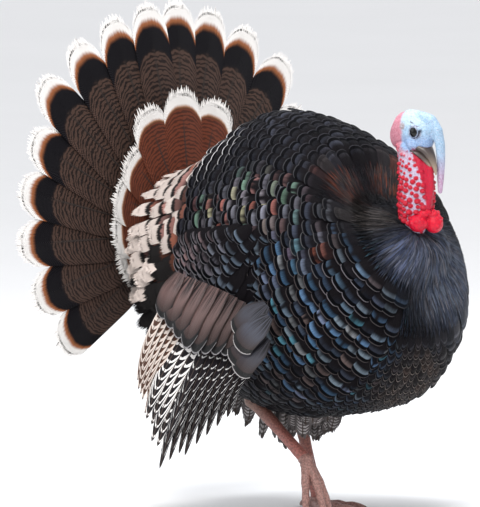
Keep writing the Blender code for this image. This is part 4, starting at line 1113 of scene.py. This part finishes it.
BULB_LUMPS = (
    (0.3110, -0.0140, 0.5450, 0.0175, 0.0175, 0.0165),
    (0.3250, 0.0125, 0.5435, 0.0165, 0.0170, 0.0175),
    (0.3170, -0.0050, 0.5620, 0.0120, 0.0120, 0.0090),
    (0.3240, 0.0110, 0.5590, 0.0110, 0.0120, 0.0090),
)
UPPER_BEAK = (
    (0.2990, 0.0, 0.6840, 0.0250, 0.0055),
    (0.3080, 0.0, 0.6820, 0.0225, 0.0080),
    (0.3210, 0.0, 0.6740, 0.0140, 0.0080),
    (0.3320, 0.0, 0.6610, 0.0085, 0.0062),
    (0.3400, 0.0, 0.6450, 0.0046, 0.0040),
    (0.3425, 0.0, 0.6320, 0.0012, 0.0012),
)
LOWER_BEAK = (
    (0.2990, 0.0, 0.6740, 0.0235, 0.0050),
    (0.3090, 0.0, 0.6700, 0.0212, 0.0062),
    (0.3200, 0.0, 0.6605, 0.0140, 0.0056),
    (0.3290, 0.0, 0.6500, 0.0080, 0.0038),
    (0.3330, 0.0, 0.6430, 0.0006, 0.0006),
)
PALE_BLUE = np.array((0.27, 0.47, 0.64))
CROWN_WHITE = np.array((0.40, 0.58, 0.66))
CHEEK_BLUE = np.array((0.16, 0.33, 0.62))
NAPE_PINK = np.array((0.55, 0.15, 0.19))
NECK_WHITE = np.array((0.42, 0.36, 0.48))
CARUNCLE_RED = np.array((0.46, 0.006, 0.022))
WATTLE_RED = np.array((0.44, 0.003, 0.026))
BULB_RED = np.array((0.56, 0.002, 0.022))
# painted shade: the dark tint laid in the face's folds and round the eye
PAINTED_SHADE_TINT = np.array((0.03, 0.04, 0.08))
EAR_TAN = np.array((0.24, 0.18, 0.15))
CREASES = (  # folds of the face, painted as lines of shade: from the eye to the beak, over the crown and along the mouth
    ((0.318, 0.021, 0.702), (0.334, 0.012, 0.690)), ((0.303, 0.021, 0.683), (0.310, 0.0205, 0.690)),
    ((0.322, 0.010, 0.735), (0.326, 0.018, 0.716)), ((0.326, 0.018, 0.716), (0.333, 0.016, 0.702)),
    ((0.314, 0.023, 0.722), (0.330, 0.017, 0.712)), ((0.300, 0.022, 0.726), (0.318, 0.021, 0.719)),
)
WATTLE_HALF_ANGLES = ((0.560, 0.600, 0.665), (10.0, 18.0, 48.0))  # heights, degrees


def neck_section(heights):
    """The neck's middle, half depth and half width at given heights."""
    neck = np.array(NECK)
    return [np.interp(heights, neck[:, 2], neck[:, column]) for column in (0, 3, 4)]


def caruncles():
    """Rows of small round warts over the sides and back of the neck, larger lower down."""
    lumps = []
    for row, height in enumerate(np.linspace(*CARUNCLE_HEIGHTS, CARUNCLE_ROWS)):
        count = 8 + row % 2
        turns = np.radians(np.linspace(*CARUNCLE_TURNS, count)) + random.normal(0.0, 0.05, count)
        middle, deep, wide = neck_section(height)
        for turn in np.concatenate((turns, -turns)):
            radius = (0.0058 - 0.00024 * row) * random.uniform(0.65, 1.15)
            drop = 0.010 * math.cos(turn) + random.normal(0.0, 0.0012)
            place = (middle + deep * math.cos(turn), wide * math.sin(turn), height - drop)
            lumps.append((*place, radius, radius * 1.1, radius * 0.85))
    return np.array(lumps)


def nearest_share(points, lumps):
    """How many lump radii away the nearest lump's centre is."""
    best = np.full(len(points), 99.0)
    for lump in lumps:
        best = np.minimum(best, np.linalg.norm((points - lump[:3]) / lump[3:], axis=1))
    return best


def paint(tint, colour, share):
    return blend(tint, colour, np.clip(share, 0.0, 1.0)[:, None])


def head_tint(points, warts):
    x, z = points[:, 0], points[:, 2]
    folded = points * np.array((1.0, 0.0, 1.0)) + np.abs(points) * np.array((0.0, 1.0, 0.0))
    middle, _deep, _wide = neck_section(z)
    tint = np.tile(NECK_WHITE, (len(points), 1)) * random.uniform(0.9, 1.1, (len(points), 1))
    face = smooth(x + 0.25 * np.abs(z - 0.706), 0.279, 0.288) * smooth(z - 0.35 * (0.300 - x), 0.664, 0.676)
    tint = paint(tint, NAPE_PINK, smooth(z, 0.655, 0.680) * 0.85)
    turn = np.degrees(np.abs(np.arctan2(points[:, 1], x - middle)))
    limit = np.interp(z, *WATTLE_HALF_ANGLES)
    tint = paint(tint, PALE_BLUE, face)
    tint = paint(tint, CHEEK_BLUE, 0.75 * face * smooth(z, 0.708, 0.690))
    tint = paint(tint, CROWN_WHITE, 0.9 * face * smooth(z, 0.712, 0.728))
    wart = nearest_share(points, warts)
    tint = paint(tint, CARUNCLE_RED, smooth(wart, 1.50, 1.00) * smooth(z, 0.700, 0.650))
    tint = paint(tint, WATTLE_RED, smooth(limit - turn, -3.0, 3.0) * smooth(z, 0.684, 0.672))
    hanging = nearest_share(points, chain(SNOOD, 18))
    snood = PALE_BLUE + (np.array((0.44, 0.26, 0.40)) - PALE_BLUE) * smooth(z, 0.680, 0.615)[:, None]
    tint = blend(tint, snood, smooth(hanging, 1.35, 1.05)[:, None])
    # painted shade round the eye, where the lids meet it
    eye = np.linalg.norm(folded - EYE_PLACE, axis=1)
    tint = paint(tint, PAINTED_SHADE_TINT, smooth(eye, EYE_RADIUS + 0.0034, EYE_RADIUS + 0.0008) * 0.7)
    ear = np.linalg.norm(folded - EAR_PLACE, axis=1)
    tint = paint(tint, EAR_TAN, smooth(ear, 0.0075, 0.0050) * 0.85)
    # painted shade along the folds of the face
    for start, end in CREASES:
        start, way = np.array(start), np.array(end) - np.array(start)
        share = np.clip((folded - start) @ way / (way @ way), 0.0, 1.0)
        crease = np.linalg.norm(folded - start - share[:, None] * way, axis=1)
        tint = paint(tint, PAINTED_SHADE_TINT, smooth(crease, 0.0024, 0.0010) * 0.70)
    return tint


def build_head(skin, red, horn, gloss):
    warts = caruncles()
    lids = []
    for turn in np.linspace(0.0, math.tau, LID_BALLS, endpoint=False):
        for sign in (-1.0, 1.0):
            lids.append((EYE_PLACE[0] + 0.0100 * math.cos(turn), sign * (EYE_PLACE[1] + 0.0022),
                         EYE_PLACE[2] + 0.0088 * math.sin(turn), 0.0016, 0.0020, 0.0016))
    brows = [(x, sign * 0.0215, 0.7190 - 0.25 * (x - 0.305), 0.005, 0.0036, 0.0026)
             for x in np.linspace(0.297, 0.322, 9) for sign in (-1.0, 1.0)]
    cheeks = [(0.301, sign * 0.0185, 0.688, 0.015, 0.0090, 0.013) for sign in (-1.0, 1.0)]
    solid = [chain(SKULL, 28), chain(NECK, 44), chain(WATTLE, 20), chain(SNOOD, 34), warts]
    lumps = np.concatenate(solid + [np.array(lids), np.array(brows), np.array(cheeks)])
    mesh = joined_form("head_skin", lumps, 0.0012, 2)
    points = mesh_points(mesh)
    replaced = ("head_shell", "neck", "snood")
    add_skin("head_skin", mesh, head_tint(points, warts), "head", skin, frame_slot("head_shell"), replaced)

    bulbs = np.array(BULB_LUMPS)
    knobs = []
    for _knob in range(26):
        home = bulbs[random.integers(0, len(bulbs))]
        way = unit(random.normal(0.0, 1.0, 3) + np.array((0.6, 0.0, 0.8)))
        radius = random.uniform(0.0026, 0.0048)
        knobs.append((*(home[:3] + way * (home[3:] - 0.4 * radius)), radius, radius, radius))
    mesh = joined_form("neck_bulbs", np.concatenate((bulbs, np.array(knobs))), 0.0012, 2)
    points = mesh_points(mesh)
    tint = np.tile(BULB_RED, (len(points), 1)) * random.uniform(0.85, 1.1, (len(points), 1))
    add_skin("neck_bulbs", mesh, tint, "head", red, frame_slot("caruncle_bulbs"), ("caruncle_bulbs",))

    for name, stations, ridge in (("upper_beak", UPPER_BEAK, 0.10), ("lower_beak", LOWER_BEAK, 0.0)):
        points, uv = limb(stations, 30, 25, ridge)
        share = uv[..., 1:2]
        tint = blend(np.array((0.048, 0.033, 0.032)), np.array((0.34, 0.26, 0.19)), smooth(share, 0.45, 0.95))
        band = np.concatenate((tint, np.ones_like(share)), axis=-1)
        add_feathers("horn_" + name, [feather_group(points, uv, band)], "head", horn, frame_slot(name), (name,))
    for side, sign in SIDES:
        polar = np.linspace(0.0, 0.62 * math.pi, 20)[:, None]
        around = np.linspace(0.0, math.tau, 33)[None, :]
        centre = EYE_PLACE * np.array((1.0, sign, 1.0))
        out = sign * (0.62 * EYE_RADIUS * np.cos(polar) + 0.0 * around)
        points = centre + np.stack((EYE_RADIUS * np.sin(polar) * np.cos(around), out,
                                    EYE_RADIUS * np.sin(polar) * np.sin(around)), axis=-1)
        uv = np.stack(np.broadcast_arrays(around / math.tau, polar / math.pi), axis=-1)
        node = "eye_" + side
        groups = [feather_group(points[None], uv[None], ((0.055, 0.022, 0.012, 1.0),))]
        add_feathers("glass_" + node, groups, "head", gloss, frame_slot(node), (node,))


# ---------------------------------------------------------------- legs and feet
HIPS = {"right": (0.017, -0.060, 0.395), "left": (0.007, 0.050, 0.395)}
HOCKS = {"right": (-0.053, -0.072, 0.205), "left": (-0.065, 0.050, 0.190)}
ANKLES = {"right": (0.091, -0.078, 0.108), "left": (-0.013, 0.050, 0.030)}
TOES = {  # angle from straight ahead in degrees outwards, length
    "right": ((6.0, 0.122), (-28.0, 0.118), (44.0, 0.116)),
    "left": ((0.0, 0.118), (-36.0, 0.090), (36.0, 0.096), (168.0, 0.055)),
}
TOE_SHAPE = ((0.0, 0.0105), (0.16, 0.0090), (0.30, 0.0082), (0.42, 0.0088), (0.56, 0.0068), (0.68, 0.0074),
             (0.80, 0.0060), (0.86, 0.0050), (0.93, 0.0034), (1.0, 0.0006))  # share of length, radius
THIGH_BROWN = np.array((0.13, 0.075, 0.055))
SHANK_PINK = np.array((0.38, 0.125, 0.105))
TOE_PINK = np.array((0.34, 0.185, 0.160))
CLAW_DARK = np.array((0.045, 0.035, 0.032))


def leg_group(side):
    hip, hock, ankle = (np.array(place[side]) for place in (HIPS, HOCKS, ANKLES))
    knee = blend(hip, hock, 0.45) + FORWARD * 0.012
    stations = [(*hip, 0.0120, 0.0120), (*knee, 0.0220, 0.0240), (*blend(hip, hock, 0.82), 0.0165, 0.0175),
                (*hock, 0.0148, 0.0155), (*blend(hock, ankle, 0.12), 0.0122, 0.0128),
                (*blend(hock, ankle, 0.55), 0.0098, 0.0102), (*ankle, 0.0106, 0.0110),
                (*(ankle - UP * 0.012), 0.0098, 0.0102)]
    points, uv = limb(stations, 120, 21, plates=38)
    share = uv[..., 1:2]
    tint = blend(THIGH_BROWN, SHANK_PINK, smooth(share, 0.52, 0.80))
    return feather_group(points, uv, np.concatenate((tint, np.ones_like(share)), axis=-1))


def toe_group(side, sign, angle, length):
    """A toe with its joints and claw: flat on the ground, or hanging until its tip meets it."""
    ankle = np.array(ANKLES[side])
    heading = math.radians(sign * angle)
    way = np.array((math.cos(heading), math.sin(heading), 0.0))
    stations = []
    for share, radius in TOE_SHAPE:
        if side == "left":
            middle = ankle * np.array((1.0, 1.0, 0.0)) + way * (share * length) + UP * (radius + 0.0004)
        else:
            fall = ankle[2] - 0.0016
            reach = math.sqrt(length ** 2 - fall ** 2)
            bend = np.interp(share, (0.0, 0.55, 1.0), (0.0, 0.48, 1.0))
            middle = ankle + way * (reach * share ** 0.8) - UP * (fall * bend)
        stations.append((*middle, radius, radius * 0.92))
    points, uv = limb(stations, 70, 17, plates=20)
    points[..., 2] = np.maximum(points[..., 2], 0.0003)
    share = uv[..., 1:2]
    tint = blend(TOE_PINK, CLAW_DARK, smooth(share, 0.84, 0.90))
    return feather_group(points, uv, np.concatenate((tint, np.ones_like(share)), axis=-1))


def build_legs(scaled):
    for side, sign in SIDES:
        node = "leg_" + side
        add_feathers("scaled_" + node, [leg_group(side)], "body", scaled, frame_slot(node), (node,))
        groups = [toe_group(side, sign, angle, length) for angle, length in TOES[side]]
        ankle = np.array(ANKLES[side])
        palm = ankle if side == "right" else ankle * np.array((1.0, 1.0, 0.0)) + UP * 0.015
        stations = [(*(palm + FORWARD * x), radius, radius * 0.9) for x, radius in
                    ((-0.016, 0.001), (-0.012, 0.009), (0.0, 0.0135), (0.012, 0.0105), (0.018, 0.001))]
        points, uv = limb(stations, 24, 21)
        points[..., 2] = np.maximum(points[..., 2], 0.0003)
        groups.append(feather_group(points, uv, ((*TOE_PINK, 1.0),)))
        add_feathers("scaled_foot_" + side, groups, "body", scaled, frame_slot("foot_" + side), ("foot_" + side,))


# ---------------------------------------------------------------- camera, light and floor
PHOTO_WIDTH = 480
METRES_PER_PIXEL = 0.0018
CAMERA_AZIMUTH = 46.0
CAMERA_ELEVATION = 6.0
CAMERA_DISTANCE = 30.0
CAMERA_TARGET = Vector((-0.159, 0.0, 0.454))


def build_stage():
    azimuth = math.radians(-CAMERA_AZIMUTH + 2.0)
    elevation = math.radians(CAMERA_ELEVATION)
    toward = Vector((math.cos(azimuth) * math.cos(elevation), math.sin(azimuth) * math.cos(elevation),
                     math.sin(elevation)))
    camera_data = bpy.data.cameras.new("camera")
    camera_data.sensor_fit = "HORIZONTAL"
    camera_data.lens = camera_data.sensor_width * CAMERA_DISTANCE / (PHOTO_WIDTH * METRES_PER_PIXEL)
    camera = bpy.data.objects.new("camera", camera_data)
    bpy.context.scene.collection.objects.link(camera)
    camera.location = CAMERA_TARGET + toward * CAMERA_DISTANCE
    camera.rotation_euler = toward.to_track_quat("Z", "Y").to_euler()
    bpy.context.scene.camera = camera
    bpy.context.scene.view_settings.view_transform = "Standard"

    world = bpy.data.worlds.new("studio")
    world.use_nodes = True
    world.node_tree.nodes["Background"].inputs["Color"].default_value = (0.96, 0.97, 1.0, 1.0)
    world.node_tree.nodes["Background"].inputs["Strength"].default_value = 0.90
    bpy.context.scene.world = world
    for name, offset, size, power, colour in (
        ("key", (1.3, -1.9, 2.6), 1.2, 105.0, (1.0, 0.98, 0.95)),
        ("fill", (-1.8, -2.2, 1.4), 2.0, 22.0, (0.90, 0.95, 1.0)),
        ("top", (-0.2, 0.4, 2.8), 1.4, 70.0, (0.95, 0.97, 1.0)),
    ):
        light_data = bpy.data.lights.new(name, "AREA")
        light_data.size = size
        light_data.energy = power
        light_data.color = colour
        light = bpy.data.objects.new(name, light_data)
        bpy.context.scene.collection.objects.link(light)
        light.location = Vector(offset) + Vector((0.0, 0.0, 0.4))
        light.rotation_euler = Vector(offset).to_track_quat("Z", "Y").to_euler()

    floor_mesh = bpy.data.meshes.new("floor")
    half = 12.0
    corners = [(-half, -half, 0.0), (half, -half, 0.0), (half, half, 0.0), (-half, half, 0.0)]
    floor_mesh.from_pydata(corners, [], [(0, 1, 2, 3)])
    floor = bpy.data.objects.new("floor", floor_mesh)
    bpy.context.scene.collection.objects.link(floor)
    look = Look("pale_floor", Roughness=0.9)
    look.put("Base Color", look.mix(look.noise(look.position(), 3.0, 3.0), (0.86, 0.86, 0.86), (0.90, 0.90, 0.90)))
    floor_mesh.materials.append(look.material)


# ---------------------------------------------------------------- everything
def dress_frame():
    """Materials for the CAD nodes that stay."""
    steel = steel_look()
    black = plastic_look("black_nylon", (0.012, 0.012, 0.013), (0.030, 0.030, 0.032), 0.45)
    shell = plastic_look("moulded_shell", (0.02, 0.02, 0.021), (0.045, 0.045, 0.047), 0.6)
    wood = wood_look()
    looks = {"steel": steel, "nylon": black, "shell": shell, "wood": wood}
    for part in frame["record"]["subparts"]:
        look = looks.get(part["material_slot"])
        if look:
            materials = frame["nodes"][part["node"]].data.materials
            materials.clear()
            materials.append(look)


def main():
    build_stage()
    dress_frame()
    plumage = plumage_look()
    build_under_skin(down_look())
    for tract in BODY_TRACTS:
        build_body_tract(*tract, plumage)
    build_rump(pale_look())
    build_tail()
    satin = satin_look()
    flight = flight_look()
    build_vent(flight)
    for side, sign in SIDES:
        build_wing_arm(side, sign, plumage)
        build_wing_satin(side, sign, satin)
        build_wing_apron(side, sign, satin)
        build_wing_flights(side, sign, flight)
    skin = skin_look("head_skin", 0.45, 420.0, (0.46, 0.46, 0.56))
    red = skin_look("red_skin", 0.36, 300.0, (0.42, 0.008, 0.020))
    build_head(skin, red, horn_look(), eye_look())
    build_legs(leg_look())


main()
